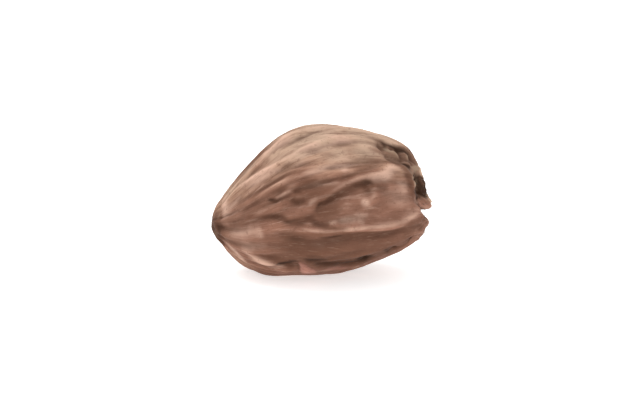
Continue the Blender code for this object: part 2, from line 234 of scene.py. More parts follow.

# Pale coats, partly paler worn skin and partly painted highlight: on the crests and ribs, and the
# band at the narrow end and the belly, where light from the left and from the floor falls
PALE_AND_HIGHLIGHT = strokes_of(
    (((-11.6, -13), (-9.8, -15), (-8.2, -16), (-7.0, -17)), 0.42, 0.7, 0.8, 2.0),
    (((-13.2, 76), (-12.9, 50), (-12.7, 20)), 0.85, 1.0, 1.0, 2.0),
    (((-12.2, -2), (-10.6, -2), (-8.8, -1)), 0.65, 0.7, 0.7),
    (((-8.1, 3), (-7.9, -3), (-7.7, -9)), 0.52, 0.6, 0.6),
    (((-2.6, -4), (-0.6, -6), (1.2, -7), (3.8, -7.6), (6.4, -9), (9.1, -10.5), (11.1, -10)),
     0.66, 0.34, 0.32),
    (((6.8, -7), (8.2, -8), (10.0, -9)), 0.30, 0.5, 0.5),
    (((10.6, -10), (12.0, -6), (13.2, -1)), 0.65, 0.8, 0.6),
    (((1.0, 19), (3.0, 26), (5.0, 31), (6.6, 34)), 0.60, 0.40, 0.35),
    (((6.0, 31.5), (7.2, 34), (8.4, 37), (9.1, 41), (9.8, 45)), 0.90, 0.5, 0.9, 2.0),
    (((8.4, 42), (9.6, 46), (10.8, 48)), 0.70, 0.5, 0.5),
    (((8.2, 31), (8.8, 35), (9.2, 40)), 0.65, 0.6, 0.6),
    (((-2.6, 35.6), (-1.4, 36.8), (-0.2, 38.4), (0.8, 40.4)), 0.65, 0.45, 0.5),
    (((-8.0, 30), (-6.3, 32), (-4.8, 33), (-3.8, 34.5)), 0.48, 0.3, 0.35),
    (((-6.1, 21.5), (-4.8, 23.3), (-3.6, 25)), 0.80, 0.35, 0.3),
    (((-8.8, 14), (-7.4, 15), (-5.0, 18)), 0.35, 0.40, 0.35),
    (((5.3, 13), (5.9, 11), (6.3, 8)), 0.85, 0.6, 0.55),
    (((7.2, 20), (7.0, 16), (6.6, 13)), 0.40, 0.35, 0.35),
    (((10.6, 33), (11.0, 26), (10.6, 18)), 0.50, 1.0, 1.0, 2.0),
    (((-10.8, 57), (-8.2, 56), (-6.2, 54)), 1.00, 0.55, 0.5),
    (((-9.8, 49), (-8.0, 48), (-6.2, 48)), 0.75, 0.6, 0.6),
    (((-8.2, 77), (-6.4, 78), (-4.6, 79)), 0.75, 0.9, 0.8),
    (((-6.4, 86), (-5.0, 88), (-3.6, 90)), 0.55, 0.7, 0.6),
    (((-9.8, 73), (-8.6, 74), (-7.6, 70)), 0.50, 0.5, 0.5),
    (((-5.0, 54), (-3.6, 57), (-1.4, 62), (-0.4, 65)), 0.60, 0.55, 0.5),
    (((-2.6, 53), (-1.0, 57), (0.8, 62)), 0.60, 0.5, 0.5),
    (((0.4, 75), (2.2, 73), (4.2, 76)), 0.60, 0.9, 0.8),
    (((2.4, 68), (3.8, 70), (5.4, 72)), 0.45, 0.5, 0.5),
    (((-2.4, 88), (-0.6, 90), (3.0, 94), (6.0, 97)), 0.55, 1.0, 0.8),
    (((2.6, 37), (3.6, 40)), 0.55, 0.45, 0.45),
    (((-12.8, -24), (-11.8, -32), (-10.8, -40), (-10.0, -54)), 0.85, 0.7, 0.7, 2.0),
    (((-10.0, -24), (-8.8, -30), (-7.4, -34), (-6.2, -37.5), (-4.8, -45)), 0.88, 0.5, 0.75),
    (((12.6, -34), (12.9, -28), (13.0, -20)), 0.25, 0.4, 0.4),
    (((1.0, -1), (1.6, -1.5), (2.2, -1)), 0.60, 0.3, 0.3),
    (((2.4, -1), (3.5, -1), (4.8, -1.5)), 0.95, 0.5, 0.45),
    (((8.4, 8), (10.4, 10), (12.4, 12)), 0.40, 1.0, 1.0),
    (((12.6, 18), (13.1, 14), (13.4, 10)), 0.50, 0.5, 0.5),
    (((-13.4, 22), (-11.6, 23), (-9.8, 25)), 0.35, 0.5, 0.5),
    (((2.6, 36.4), (3.4, 37.2), (4.6, 38.4)), 0.35, 0.4, 0.3),
    (((-2.6, 26), (-0.8, 27), (1.3, 27), (2.6, 28.4)), 0.75, 0.35, 0.35),
    (((-1.6, 12), (-1.1, 14.5), (-0.3, 17)), 0.70, 0.4, 0.4),
    (((7.8, 18), (9.2, 20), (10.6, 20)), 0.40, 0.7, 0.7),
    (((-9.0, 33.5), (-8.2, 37), (-7.4, 41)), 0.60, 0.35, 0.35),
    (((-4.2, 45), (-2.8, 46), (-1.2, 48)), 0.45, 0.5, 0.4),
    (((-5.8, 76), (-5.0, 80), (-4.2, 84)), 0.60, 0.6, 0.6),
    (((-2.4, 59), (-1.0, 62), (0.4, 64)), 0.60, 0.45, 0.45),
    (((-10.6, 20), (-8.8, 16), (-7.4, 15)), 0.20, 0.3, 0.3),
    (((-9.8, 3), (-8.8, -1), (-8.2, -6)), 0.35, 0.9, 0.9),
    (((-12.4, 35), (-11.5, 40.5), (-10.6, 46)), 0.66, 0.5, 0.55),
    (((-8.4, 52), (-6.8, 54.5), (-5.0, 57)), 0.60, 0.6, 0.55),
    (((0.0, 41), (1.7, 41.6), (3.4, 43.2), (5.2, 46)), 0.95, 0.5, 0.45),
    (((4.4, 2.5), (5.4, 1), (6.4, 0)), 0.60, 0.5, 0.5),
    (((8.2, 66), (9.0, 60), (9.8, 55)), 0.40, 0.35, 0.35),
    (((-10.6, -19), (-9.6, -20), (-8.6, -20)), 0.35, 0.6, 0.5),
    (((-4.7, 30), (-4.0, 28.6), (-3.0, 28)), 0.40, 0.4, 0.35),
    (((-5.6, 74.6), (-4.6, 76.4), (-3.7, 80.5)), 0.75, 0.45, 0.4),
    (((-1.6, -17), (-0.2, -19), (0.6, -24)), 0.42, 0.8, 0.8),
    (((-6.7, 49), (-5.8, 48), (-4.8, 46)), 0.60, 0.45, 0.45),
    (((0.8, 63), (2.6, 68), (4.0, 71)), 0.65, 0.35, 0.35),
    (((10.0, 31), (11.2, 31), (12.0, 31)), 0.60, 0.35, 0.35),
    (((7.8, -24), (8.7, -22), (9.8, -21)), 0.40, 0.4, 0.4),
    (((4.7, -2), (5.3, -3.4), (5.8, -6)), 0.50, 0.45, 0.45),
)

# Dusky coats, mostly painted shade with some darker skin: in the creases, on the panel under the
# keel, on the blunt end's side turned from the light, and in the hollows
DUSK_AND_SHADE = strokes_of(
    (((7.2, 79), (8.6, 76), (10.6, 73), (12.6, 70), (14.4, 68)), 0.88, 1.2, 2.1, 4.0),
    (((6.6, 51), (8.6, 51), (10.2, 50.5), (11.4, 48), (11.9, 42)), 0.95, 0.6, 0.55),
    (((11.5, 46), (11.7, 40), (11.8, 35)), 0.65, 0.6, 0.5),
    (((8.8, 57), (10.2, 54), (11.6, 56)), 0.70, 0.5, 0.5),
    (((11.2, 112), (12.2, 102), (12.9, 92), (13.1, 80)), 0.95, 0.9, 0.9, 2.0),
    (((10.4, 86), (11.4, 88), (12.4, 86), (13.0, 80)), 0.85, 0.45, 0.6),
    (((12.5, 12), (12.2, 26), (12.1, 38), (12.0, 54)), 0.95, 0.9, 0.7),
    (((-13.6, 96), (-12.2, 97), (-10.2, 92), (-8.2, 93), (-4.4, 103)), 0.92, 1.2, 1.0, 2.0),
    (((-7.6, 21), (-3.0, 22), (2.4, 24), (5.0, 27)), 0.50, 1.2, 2.2, 2.4),
    (((-4.8, 3), (-2.4, 3), (0.4, 5), (3.0, 8)), 0.55, 0.8, 0.6),
    (((-0.8, 9), (0.6, 8), (2.6, 10)), 0.80, 0.9, 0.9),
    (((-12.0, 36), (-10.8, 30), (-10.0, 22), (-10.4, 10)), 0.45, 1.0, 1.4, 2.4),
    (((-12.4, 6), (-10.8, 8), (-9.6, 12)), 0.75, 0.8, 0.8),
    (((-14.6, 70), (-14.4, 20), (-13.9, -4), (-13.4, -18), (-13.4, -26)), 1.00, 1.5, 0.6, 2.4),
    (((-10.8, 34), (-8.6, 35), (-6.4, 36.5), (-4.6, 38), (-2.4, 38)), 1.00, 0.45, 0.4),
    (((-9.8, 19), (-7.6, 19), (-5.6, 20)), 0.55, 0.7, 0.6),
    (((-7.2, 27.5), (-5.4, 28), (-3.4, 29.5)), 0.70, 0.35, 0.4),
    (((-7.5, -20), (-4.0, -22), (0.0, -25), (5.0, -28), (11.0, -30)), 0.86, 1.8, 3.0, 2.6),
    (((-5.2, -14), (-3.2, -17), (-1.4, -20)), 0.55, 0.9, 0.9),
    (((-5.4, -9), (-3.8, -9.5), (-1.6, -9), (0.8, -9)), 0.85, 0.5, 0.9),
    (((-9.2, 11), (-7.6, 10), (-6.0, 8), (-5.0, 6), (-4.0, 1), (-2.8, 2), (-1.2, 4)),
     0.75, 0.35, 0.35),
    (((-0.7, 8), (-0.2, 12), (1.0, 15), (2.4, 19), (4.2, 25), (5.6, 29)), 0.80, 0.4, 0.5),
    (((5.6, 27), (6.1, 23), (6.6, 19)), 1.00, 0.6, 0.6),
    (((7.2, 25), (8.2, 24), (9.2, 22)), 0.70, 0.6, 0.6),
    (((-6.8, 24), (-6.2, 21.4), (-5.4, 21)), 0.40, 0.3, 0.3),
    (((-4.1, 18), (-3.4, 16), (-2.6, 16)), 0.80, 0.55, 0.5),
    (((-3.6, 24), (-2.0, 27), (0.2, 26), (1.6, 25)), 0.45, 0.6, 0.6),
    (((-3.0, 29.2), (-1.6, 30.2), (-0.2, 31.6)), 0.80, 0.4, 0.35),
    (((1.4, 34), (2.6, 34), (4.0, 35)), 0.35, 0.4, 0.4),
    (((2.6, 30.5), (3.8, 32.5), (5.0, 35), (6.2, 37), (7.6, 40)), 0.85, 0.4, 0.4),
    (((5.0, 38), (6.2, 41), (7.2, 43), (8.2, 46)), 0.45, 0.7, 0.5),
    (((3.2, 39.6), (4.6, 42), (6.3, 44.8)), 0.78, 0.4, 0.4),
    (((4.2, 50.5), (5.8, 52.5), (7.4, 54)), 0.50, 0.5, 0.5),
    (((5.6, 45), (6.6, 47), (8.0, 49)), 0.45, 0.8, 0.7),
    (((1.6, 62), (2.8, 64), (4.4, 67)), 0.45, 0.4, 0.4),
    (((-9.2, 68), (-8.4, 68), (-7.4, 64)), 0.35, 0.4, 0.4),
    (((-5.4, 47), (-4.6, 49), (-3.8, 50)), 0.50, 0.4, 0.4),
    (((-3.4, 77), (-2.4, 78), (-1.4, 79)), 0.40, 0.4, 0.4),
    (((-2.4, -8.2), (0.4, -8.6), (2.6, -9.6), (4.4, -11.5), (6.4, -14), (9.0, -16.5), (12.4, -15)),
     1.00, 0.28, 0.7),
    (((0.0, -4.8), (1.8, -5.6), (3.6, -6.4)), 0.80, 0.22, 0.25),
    (((11.6, -14), (12.6, -17), (13.4, -20), (13.9, -30)), 0.95, 0.8, 0.9),
    (((-7.2, -26), (-5.6, -32), (-4.6, -38), (-3.8, -50)), 1.00, 0.7, 0.9, 2.0),
    (((-2.2, -29), (0.6, -35), (3.4, -41), (6.4, -46), (10.6, -48)), 1.00, 1.4, 2.6, 2.4),
    (((3.0, -38), (5.8, -50), (7.0, -66)), 0.90, 1.4, 1.4, 2.4),
    (((8.0, -36), (9.4, -50), (9.0, -66)), 0.90, 1.3, 1.3, 2.4),
    (((11.5, -28), (11.9, -38), (11.6, -50)), 0.80, 0.6, 0.6),
    (((8.6, -33), (10.4, -34.5), (12.2, -35)), 0.60, 0.7, 0.8),
    (((13.2, -4), (13.8, -10), (14.2, -20), (14.3, -34)), 0.75, 0.6, 0.6),
    (((-5.8, 23.4), (-5.0, 25), (-4.2, 26)), 0.62, 0.35, 0.35),
    (((1.4, 60), (3.4, 63), (6.0, 65)), 0.45, 0.7, 0.7),
    (((-4.0, 69), (-2.2, 72), (0.0, 74)), 0.35, 0.8, 0.7),
    (((-9.2, 31), (-7.2, 34.4), (-5.4, 36.8), (-3.8, 39)), 0.85, 0.4, 0.35),
    (((-3.6, 24.5), (-3.0, 23), (-2.4, 22)), 0.80, 0.3, 0.3),
    (((-12.8, -14), (-11.0, -16), (-9.2, -18)), 0.40, 0.6, 0.6),
    (((1.4, -8.6), (2.8, -10), (3.8, -13)), 0.80, 0.5, 0.8),
    (((-5.2, -12), (-3.4, -12.5), (-1.8, -13)), 0.95, 1.0, 1.0),
    (((-4.6, -31), (-2.0, -29.5), (-0.4, -30.5), (1.4, -33)), 0.90, 0.8, 0.8),
    (((6.3, 31), (6.8, 28), (7.2, 24)), 0.70, 0.5, 0.45),
    (((-13.5, 4), (-13.2, -7), (-12.9, -20)), 0.85, 0.5, 0.4),
    (((-0.6, 54), (1.0, 53), (2.6, 50)), 0.50, 0.6, 0.6),
    (((8.0, -54), (10.0, -53), (12.2, -42)), 0.65, 0.6, 0.6),
    (((-3.0, 20), (-0.8, 20), (0.8, 22)), 0.55, 0.6, 0.6),
    (((-13.2, -8), (-12.0, -13), (-10.2, -11)), 0.60, 0.6, 0.6),
    (((-4.0, 65), (-2.5, 63.5), (-0.6, 66)), 0.55, 0.4, 0.4),
    (((2.4, -58), (4.8, -61), (6.8, -63)), 0.80, 0.8, 0.8),
    (((-12.8, 49), (-11.1, 51.5), (-9.2, 55)), 0.50, 0.35, 0.35),
    (((9.6, -11), (11.2, -12), (12.4, -18), (12.9, -25)), 0.55, 0.5, 0.5),
    (((-7.4, 81.5), (-6.2, 81), (-4.8, 82)), 0.80, 0.3, 0.3),
    (((-9.8, 10), (-9.2, 14.5), (-8.0, 17)), 0.55, 0.6, 0.5),
    (((-4.8, -18), (-3.6, -17), (-2.6, -14)), 0.45, 0.6, 0.6),
    (((-0.6, 3), (0.9, 4), (2.6, 5)), 0.55, 0.4, 0.35),
    (((6.2, 65), (7.4, 63.4), (8.7, 64)), 0.50, 0.4, 0.4),
    (((-13.3, 12), (-12.4, 16), (-11.0, 19)), 0.55, 0.4, 0.4),
    (((6.0, 79), (7.6, 82), (8.8, 86)), 0.45, 0.5, 0.5),
    (((5.6, -9), (6.6, -9.4), (7.6, -9.4)), 0.50, 0.3, 0.35),
    (((-3.8, 40), (-2.5, 38.6), (-0.9, 39)), 0.45, 0.35, 0.3),
    (((13.7, 22), (14.1, 28), (14.35, 36), (14.4, 46)), 0.60, 0.45, 0.45),
)

# Nearly black: painted shade in the hollows, the split and the pits, and the stalk scar's own dark
SCAR_AND_HOLLOW_SHADE = strokes_of(
    (((7.2, 83), (8.4, 81), (9.6, 81), (10.6, 83)), 0.36, 0.4, 0.45),
    (((9.2, 80), (10.6, 82), (11.6, 81.5), (12.6, 78)), 0.70, 0.45, 0.5),
    (((8.2, 84), (8.7, 78), (9.1, 71), (9.5, 65)), 0.48, 0.32, 0.3),
    (((9.2, 53), (9.9, 50), (10.6, 51)), 0.25, 0.35, 0.35),
    (((10.8, 56), (11.6, 55), (12.2, 59)), 0.75, 0.45, 0.4),
    (((10.2, 84), (10.6, 76), (10.8, 70), (10.8, 64)), 0.32, 0.35, 0.35),
    (((10.9, 70), (11.5, 65), (12.2, 68), (12.5, 76)), 0.38, 0.4, 0.35),
    (((13.0, 66), (13.1, 50), (13.2, 38), (13.2, 26), (13.4, 20)), 1.00, 0.9, 0.5, 2.4),
    (((13.1, 24), (13.55, 29), (13.9, 36), (14.0, 46)), 0.80, 0.4, 0.35),
    (((13.5, 66), (13.9, 74), (14.15, 74), (14.25, 62), (14.1, 46)), 1.00, 0.9, 1.0, 3.0),
    (((5.2, 28.5), (6.1, 30), (6.8, 28)), 0.45, 0.4, 0.5),
    (((-0.5, 9), (-0.1, 13), (0.4, 14)), 0.45, 0.3, 0.3),
    (((14.4, 10), (14.64, 0), (14.3, 194), (13.3, 194)), 0.95, 0.5, 0.6, 2.4),
    (((12.0, -42), (12.4, -46)), 0.60, 0.4, 0.4),
    (((8.4, -38), (9.0, -46), (9.2, -58)), 0.52, 0.6, 0.6),
    (((5.4, -39), (5.9, -46), (6.3, -64)), 0.85, 0.8, 0.9),
    (((-6.2, -38.5), (-4.8, -38.5), (-3.6, -36)), 0.80, 0.6, 0.7),
    (((-1.0, -38), (0.6, -45), (2.8, -49), (5.6, -53)), 0.46, 0.6, 1.6, 2.0),
    (((13.8, 78), (14.15, 92), (14.35, 88), (14.4, 70)), 0.65, 0.4, 0.5, 2.0),
    (((-4.8, -11), (-3.2, -12), (-1.8, -12.5)), 0.36, 0.9, 0.9),
    (((-0.6, -11), (1.6, -12.8), (3.2, -12.8)), 0.48, 0.4, 0.5),
    (((-7.1, 24), (-6.4, 22.5), (-5.7, 21)), 0.45, 0.3, 0.3),
    (((9.2, 53), (10.0, 51.6), (10.8, 52.4)), 0.35, 0.4, 0.4),
    (((-2.4, -31), (-0.8, -33.2), (1.2, -35)), 0.54, 0.7, 1.0),
    (((-4.4, -33), (-3.5, -34.5), (-3.0, -38)), 0.45, 0.4, 0.4),
    (((3.2, -48), (4.4, -50), (5.8, -50.5), (7.2, -49)), 0.60, 0.5, 1.6),
    (((-14.2, 14), (-13.7, -4), (-13.1, -20)), 0.48, 0.7, 0.5),
    (((-14.6, 95), (-14.4, 62), (-14.3, 30)), 0.26, 0.5, 0.6),
    (((10.3, 86), (11.4, 84.5), (12.7, 87)), 0.38, 0.5, 0.5),
    (((-5.2, 1), (-3.6, 2.2), (-2.2, 3)), 0.40, 0.4, 0.4),
    (((-2.0, -27), (-0.9, -27.4), (0.3, -28.4)), 0.32, 0.35, 0.35),
    (((12.3, 27), (12.7, 24), (13.2, 28)), 0.50, 0.4, 0.4),
)

# Worn greyish tan edges that stand up in the dark hollows
WORN = strokes_of(
    (((8.6, 76), (9.6, 69), (10.6, 64)), 0.80, 0.42, 0.42),
    (((11.5, 78), (11.8, 74), (11.9, 69)), 0.60, 0.26, 0.26),
    (((12.5, 45), (12.7, 39), (12.6, 33)), 0.85, 0.45, 0.4),
    (((13.2, 72), (13.25, 62), (13.25, 50)), 0.70, 0.25, 0.3),
    (((12.6, 64), (13.0, 72), (13.3, 80), (13.5, 90)), 1.00, 0.4, 0.35, 2.0),
    (((13.5, 13), (14.1, 19), (14.42, 26), (14.6, 44), (14.62, 100)), 0.40, 0.35, 0.5, 2.4),
    (((14.35, 70), (14.5, 84), (14.6, 100)), 0.50, 0.4, 0.4),
    (((13.6, 72), (13.85, 68), (13.95, 61)), 0.35, 0.25, 0.25),
    (((-14.9, -20), (-14.6, -40), (-13.9, -42)), 0.40, 0.3, 0.3),
    (((-14.1, 20), (-13.9, 29), (-13.7, 45)), 0.40, 0.35, 0.35),
)

# The pinkish flake under the belly, and the reddened skin by it
BLUSH = strokes_of(
    (((-2.7, -36), (-2.2, -44), (-2.1, -50), (-2.0, -62)), 1.00, 0.7, 0.7, 3.0),
    (((-1.6, -46), (-1.2, -54), (-1.0, -62)), 0.90, 0.6, 0.6, 2.4),
    (((0.6, -50), (2.0, -58), (4.0, -66)), 0.50, 0.9, 0.9, 2.0),
    (((-4.6, -56), (-6.0, -66)), 0.35, 1.0, 1.0, 2.0),
    (((13.5, 13), (14.1, 19), (14.42, 26), (14.6, 44), (14.62, 100)), 0.60, 0.5, 0.5, 2.4),
)


def unit(vectors: Array) -> Array:
    """The vectors at length 1."""
    return vectors / np.linalg.norm(vectors, axis=-1, keepdims=True)


def smoothstep(values: Array, start: float, end: float) -> Array:
    """0 below start, 1 above end, and a smooth rise of 3t^2 - 2t^3 between them."""
    t = np.clip((values - start) / (end - start), 0, 1)
    return t * t * (3 - 2 * t)


def smooth_line(knots: Array, places: Array) -> Array:
    """A smooth line through evenly spaced knots (a Catmull-Rom spline), read at these places.

    Args:
        knots: One row or number for each knot.
        places: Where to read, with knot i at i.

    Returns:
        One row or number for each place.
    """
    last = len(knots) - 1
    first = np.clip(places.astype(int), 0, last - 1)
    t = (places - first).reshape(-1, *[1] * (knots.ndim - 1))
    padded = np.concatenate([[2 * knots[0] - knots[1]], knots, [2 * knots[-1] - knots[-2]]])
    a, b, c, d = (padded[first + i] for i in range(4))
    return b + 0.5 * t * (c - a + t * (2 * a - 5 * b + 4 * c - d + t * (3 * (b - c) + d - a)))


@dataclass(frozen=True)
class Lattice:
    """Smooth random values over space: each whole-number corner holds a random slope.

    A place's value is the sum over the eight corners of its cell of slope times offset, weighted
    by 6t^5 - 15t^4 + 10t^3 in each axis.
    """

    seed: int

    def values(self, places: Array) -> Array:
        """One value, from about -1 to 1, for each place.

        Args:
            places: Rows of x, y and z, in cells.

        Returns:
            An array with one number for each row.
        """
        rng = np.random.default_rng(self.seed)
        order = rng.permutation(256)
        slopes = unit(rng.normal(size=(256, 3)))
        corner = np.floor(places).astype(int)
        part = places - corner
        fade = part**3 * (part * (part * 6 - 15) + 10)
        total = np.zeros(len(places))
        for step in np.ndindex(2, 2, 2):
            x, y, z = ((corner[:, i] + step[i]) & 255 for i in range(3))
            slope = slopes[order[(order[(order[x] + y) & 255] + z) & 255]]
            weight = np.prod(np.where(step, fade, 1 - fade), axis=1)
            total += weight * (slope * (part - step)).sum(axis=1)
        return 1.5 * total


@dataclass(frozen=True)
class Skin:
    """The smooth skin under the folds, the same as the solid's.

    At stations evenly spaced in degrees on the meridian, from the narrow end to the blunt one, a
    spline gives the half-thickness of the ellipse that the skin touches, and the height and side of
    its axis.
    """

    half_length: float = 14.825
    middle_x: float = -0.175
    width_share: float = 0.95
    corner_rise: float = 0.042
    corner_angle: float = math.radians(-12)
    station_step: float = 15.0
    fullness: tuple[float, ...] = (
        9.0, 7.5, 7.8, 9.0, 9.85, 10.3, 10.3, 10.1, 10.1, 10.75, 12.0, 13.2, 13.4,
    )
    axis_height: tuple[float, ...] = (
        7.0, 7.15, 7.25, 7.6, 8.55, 9.6, 9.95, 10.25, 10.5, 10.6, 10.4, 9.45, 9.0,
    )
    axis_side: tuple[float, ...] = (
        0.9, 0.8, 0.7, 0.55, 0.42, 0.42, 0.42, 0.42, 0.3, 0.1, -0.2, -0.5, -0.6,
    )

    def directions_of(self, path: tuple[Place, ...]) -> Array:
        """The directions from the pod's middle in which the skin reaches these places."""
        along, degrees = np.array(path, float).T
        x = (along - self.middle_x) / self.half_length
        rest, turn = np.sqrt(1 - x * x), np.radians(degrees)
        return np.stack([x, -rest * np.cos(turn), rest * np.sin(turn)], axis=1)

    def angles(self, directions: Array) -> Array:
        """Each direction's angle round the pod, in radians."""
        return np.arctan2(directions[:, 2], -directions[:, 1])

    def from_axis(self, directions: Array) -> Array:
        """Rough distances from the pod's axis: those of an ellipsoid as thick as its middle."""
        return np.hypot(directions[:, 1], directions[:, 2]) * self.fullness[len(self.fullness) // 2]

    def points(self, directions: Array) -> Array:
        """The skin in these directions.

        A point is the axis at its station plus the direction times the ellipse's half-sizes. The
        section is faintly three-cornered: the reach varies with the cosine of three times the
        angle.

        Args:
            directions: Rows of unit vectors.

        Returns:
            Rows of x, y and z, in millimetres.
        """
        directions = unit(directions)
        stations = np.degrees(np.arccos(np.clip(-directions[:, 0], -1, 1))) / self.station_step
        fullness, height, side = (
            smooth_line(np.array(knots), stations)
            for knots in (self.fullness, self.axis_height, self.axis_side)
        )
        corners = 1 + self.corner_rise * np.cos(3 * (self.angles(directions) - self.corner_angle))
        reach = fullness * corners
        return np.stack(
            [
                self.middle_x + self.half_length * directions[:, 0],
                side + self.width_share * reach * directions[:, 1],
                height + reach * directions[:, 2],
            ],
            axis=1,
        )

    def normals(self, directions: Array) -> Array:
        """The skin's outward normals, from how it moves as a direction turns a little two ways."""
        step = 1e-4
        away = np.where(np.abs(directions[:, :1]) < 0.9, [[1.0, 0.0, 0.0]], [[0.0, 1.0, 0.0]])
        first = unit(np.cross(directions, away))
        second = np.cross(directions, first)
        here = self.points(directions)
        return unit(
            np.cross(
                self.points(directions + step * first) - here,
                self.points(directions + step * second) - here,
            )
        )


@dataclass(frozen=True)
class Brush:
    """Lays strokes over the skin.

    Attributes:
        skin: What the strokes lie on.
        step: The spacing of the points that a stroke's line is made of, in millimetres.
        fewest: The fewest such points.
        reach: How many times its width a flank is followed outwards.
    """

    skin: Skin
    step: float = 0.25
    fewest: int = 8
    reach: float = 3.4

    def lay(self, stroke: Stroke, points: Array) -> Array:
        """The stroke's value at each point of the skin.

        The value is strength * taper * exp(-d^crest), where d is the distance from the line over
        the flank's width. The taper is the square root of the sine of half a turn along the line,
        from 3% to 97% of it.

        Args:
            stroke: The line and its widths.
            points: Places on the skin, in millimetres.

        Returns:
            One number for each point.
        """
        knots = self.skin.directions_of(stroke.path)
        length = np.linalg.norm(np.diff(self.skin.points(knots), axis=0), axis=1).sum()
        count = max(self.fewest, int(length / self.step))
        ways = unit(smooth_line(knots, np.linspace(0, len(knots) - 1, count)))
        line = self.skin.points(ways)
        tangent = np.gradient(line, axis=0)
        spacing = np.linalg.norm(tangent, axis=1)
        forward = tangent / spacing[:, None]
        upward = np.cross(self.skin.normals(ways), forward)
        margin = self.reach * max(stroke.above, stroke.below)
        near = ((points > line.min(0) - margin) & (points < line.max(0) + margin)).all(axis=1)
        total = np.zeros(len(points))
        place = points[near]
        if not len(place):
            return total
        nearest = ((place[:, None, :] - line[None, :, :]) ** 2).sum(axis=2).argmin(axis=1)
        offset = place - line[nearest]
        onward = (offset * forward[nearest]).sum(axis=1)
        aside = np.sqrt(np.maximum(0, (offset**2).sum(axis=1) - onward**2))
        width = np.where((offset * upward[nearest]).sum(axis=1) > 0, stroke.above, stroke.below)
        index = nearest + onward / spacing[nearest]
        share = np.clip(index / (count - 1), 0, 1)
        past_end = (index - share * (count - 1)) * spacing[nearest]
        distance = np.hypot(aside / width, 2 * past_end / (stroke.above + stroke.below))
        taper = np.sqrt(np.sin(math.pi * (0.03 + 0.94 * share)))
        total[near] = stroke.strength * taper * np.exp(-(distance**stroke.crest))
        return total

    def lay_all(self, strokes: tuple[Stroke, ...] | list[Stroke], points: Array) -> Array:
        """The sum of the strokes' values at each point."""
        return sum((self.lay(stroke, points) for stroke in strokes), np.zeros(len(points)))

    def stain(self, strokes: tuple[Stroke, ...] | list[Stroke], points: Array) -> Array:
        """The strokes laid as thin washes: 1 less the product of what each leaves bare."""
        bare = np.ones(len(points))
        for stroke in strokes:
            bare *= 1 - np.clip(self.lay(stroke, points), 0, 1)
        return 1 - bare


@dataclass(frozen=True)
class CoarseRelief:
    """The relief that the solid also has: low waves, folds and the ribs of the far side."""

    skin: Skin
    brush: Brush
    seed: int = 7
    wave_height: float = 0.11
    wave_ribs: tuple[int, int] = (17, 42)
    wave_drift: float = 0.6
    wave_count: int = 14
    full_relief_radius: float = 5.0
    far_ribs_from: float = 121
    far_ribs_to: float = 282
    far_rib_step: float = 15.5
    far_rib_start: tuple[float, float] = (-13.2, -10.5)
    far_rib_end: tuple[float, float] = (8.5, 13.4)
    far_rib_knots: int = 6
    far_rib_height: tuple[float, float] = (0.3, 0.6)
    far_rib_width: tuple[float, float] = (0.7, 1.3)
    far_rib_lower_flank: float = 0.8
    far_rib_wander: float = 5.0
    rest_x: float = -1.0
    rest_radius: float = 5.5
    rest_core: float = 0.3
    rest_smoothing: float = 0.15

    def waves(self, points: Array, directions: Array, rng: random.Random) -> Array:
        """Uneven waves: a sum of cosines round the pod that drift along it, lower near the ends."""
        turn = self.skin.angles(directions)
        total = np.zeros(len(points))
        for _ in range(self.wave_count):
            ribs = rng.randint(*self.wave_ribs)
            drift = rng.uniform(-self.wave_drift, self.wave_drift)
            phase = rng.uniform(0, 2 * math.pi)
            total += np.cos(ribs * turn + drift * points[:, 0] + phase)
        fading = np.minimum(1, self.skin.from_axis(directions) / self.full_relief_radius)
        return self.wave_height * total / math.sqrt(self.wave_count) * fading

    def far_ribs(self, rng: random.Random) -> list[Stroke]:
        """Ribs of the far side: evenly spread, each one wandering."""
        ribs = []
        for angle in np.arange(self.far_ribs_from, self.far_ribs_to, self.far_rib_step):
            start, end = rng.uniform(*self.far_rib_start), rng.uniform(*self.far_rib_end)
            path = []
            for i in range(self.far_rib_knots):
                along = start + (end - start) * i / (self.far_rib_knots - 1)
                wander = rng.uniform(-self.far_rib_wander, self.far_rib_wander)
                path.append((along, float(angle) + wander))
            height, width = rng.uniform(*self.far_rib_height), rng.uniform(*self.far_rib_width)
            ribs.append(Stroke(tuple(path), height, width, self.far_rib_lower_flank * width))
        return ribs

    def resting_share(self, points: Array) -> Array:
        """How much of its relief each point keeps: little where the husk rests on the floor."""
        distance = np.linalg.norm(points - [self.rest_x, 0, 0], axis=1) / self.rest_radius
        away = np.clip(distance - self.rest_core, 0, 1)
        return self.rest_smoothing + (1 - self.rest_smoothing) * away * away * (3 - 2 * away)

    def heights(self, points: Array, directions: Array) -> Array:
        """The relief in millimetres along the skin's normals.

        Args:
            points: The skin's points.
            directions: The same points' directions.

        Returns:
            One height for each point.
        """
        rng = random.Random(self.seed)
        relief = self.waves(points, directions, rng)
        folds = [*UPPER_RIBS, KEEL, *LOWER_RIBS, *CREASES, *HOLLOWS, *SPLIT_END]
        relief += self.brush.lay_all([*folds, *self.far_ribs(rng)], points)
        return relief * self.resting_share(points) + self.brush.lay(UNDERSIDE_SWELLING, points)


@dataclass(frozen=True)
class Grain:
    """The run of the husk's fibres: they fan out from the narrow end and lean towards the top.

    A fibre keeps its value of angle - lean * x, where the lean is 1.0 sin(angle) + 0.7 sin(2 angle)
    degrees for each millimetre.
    """

    lean: tuple[float, float] = (1.0, 0.7)
    girth_radius: float = 10.0
    stretch: float = 6.0

    def places(self, angles: Array, along: Array) -> Array:
        """Places in a space where a fibre is a straight line, squeezed along the pod.

        Args:
            angles: Angles round the pod, in radians.
            along: Millimetres along the pod.

        Returns:
            Rows of two coordinates round a circle and one along it, in millimetres.
        """
        lean = self.lean[0] * np.sin(angles) + self.lean[1] * np.sin(2 * angles)
        turned = angles - np.radians(lean * along)
        round_x, round_y = np.cos(turned), np.sin(turned)
        return np.stack(
            [self.girth_radius * round_x, self.girth_radius * round_y, along / self.stretch], axis=1
        )


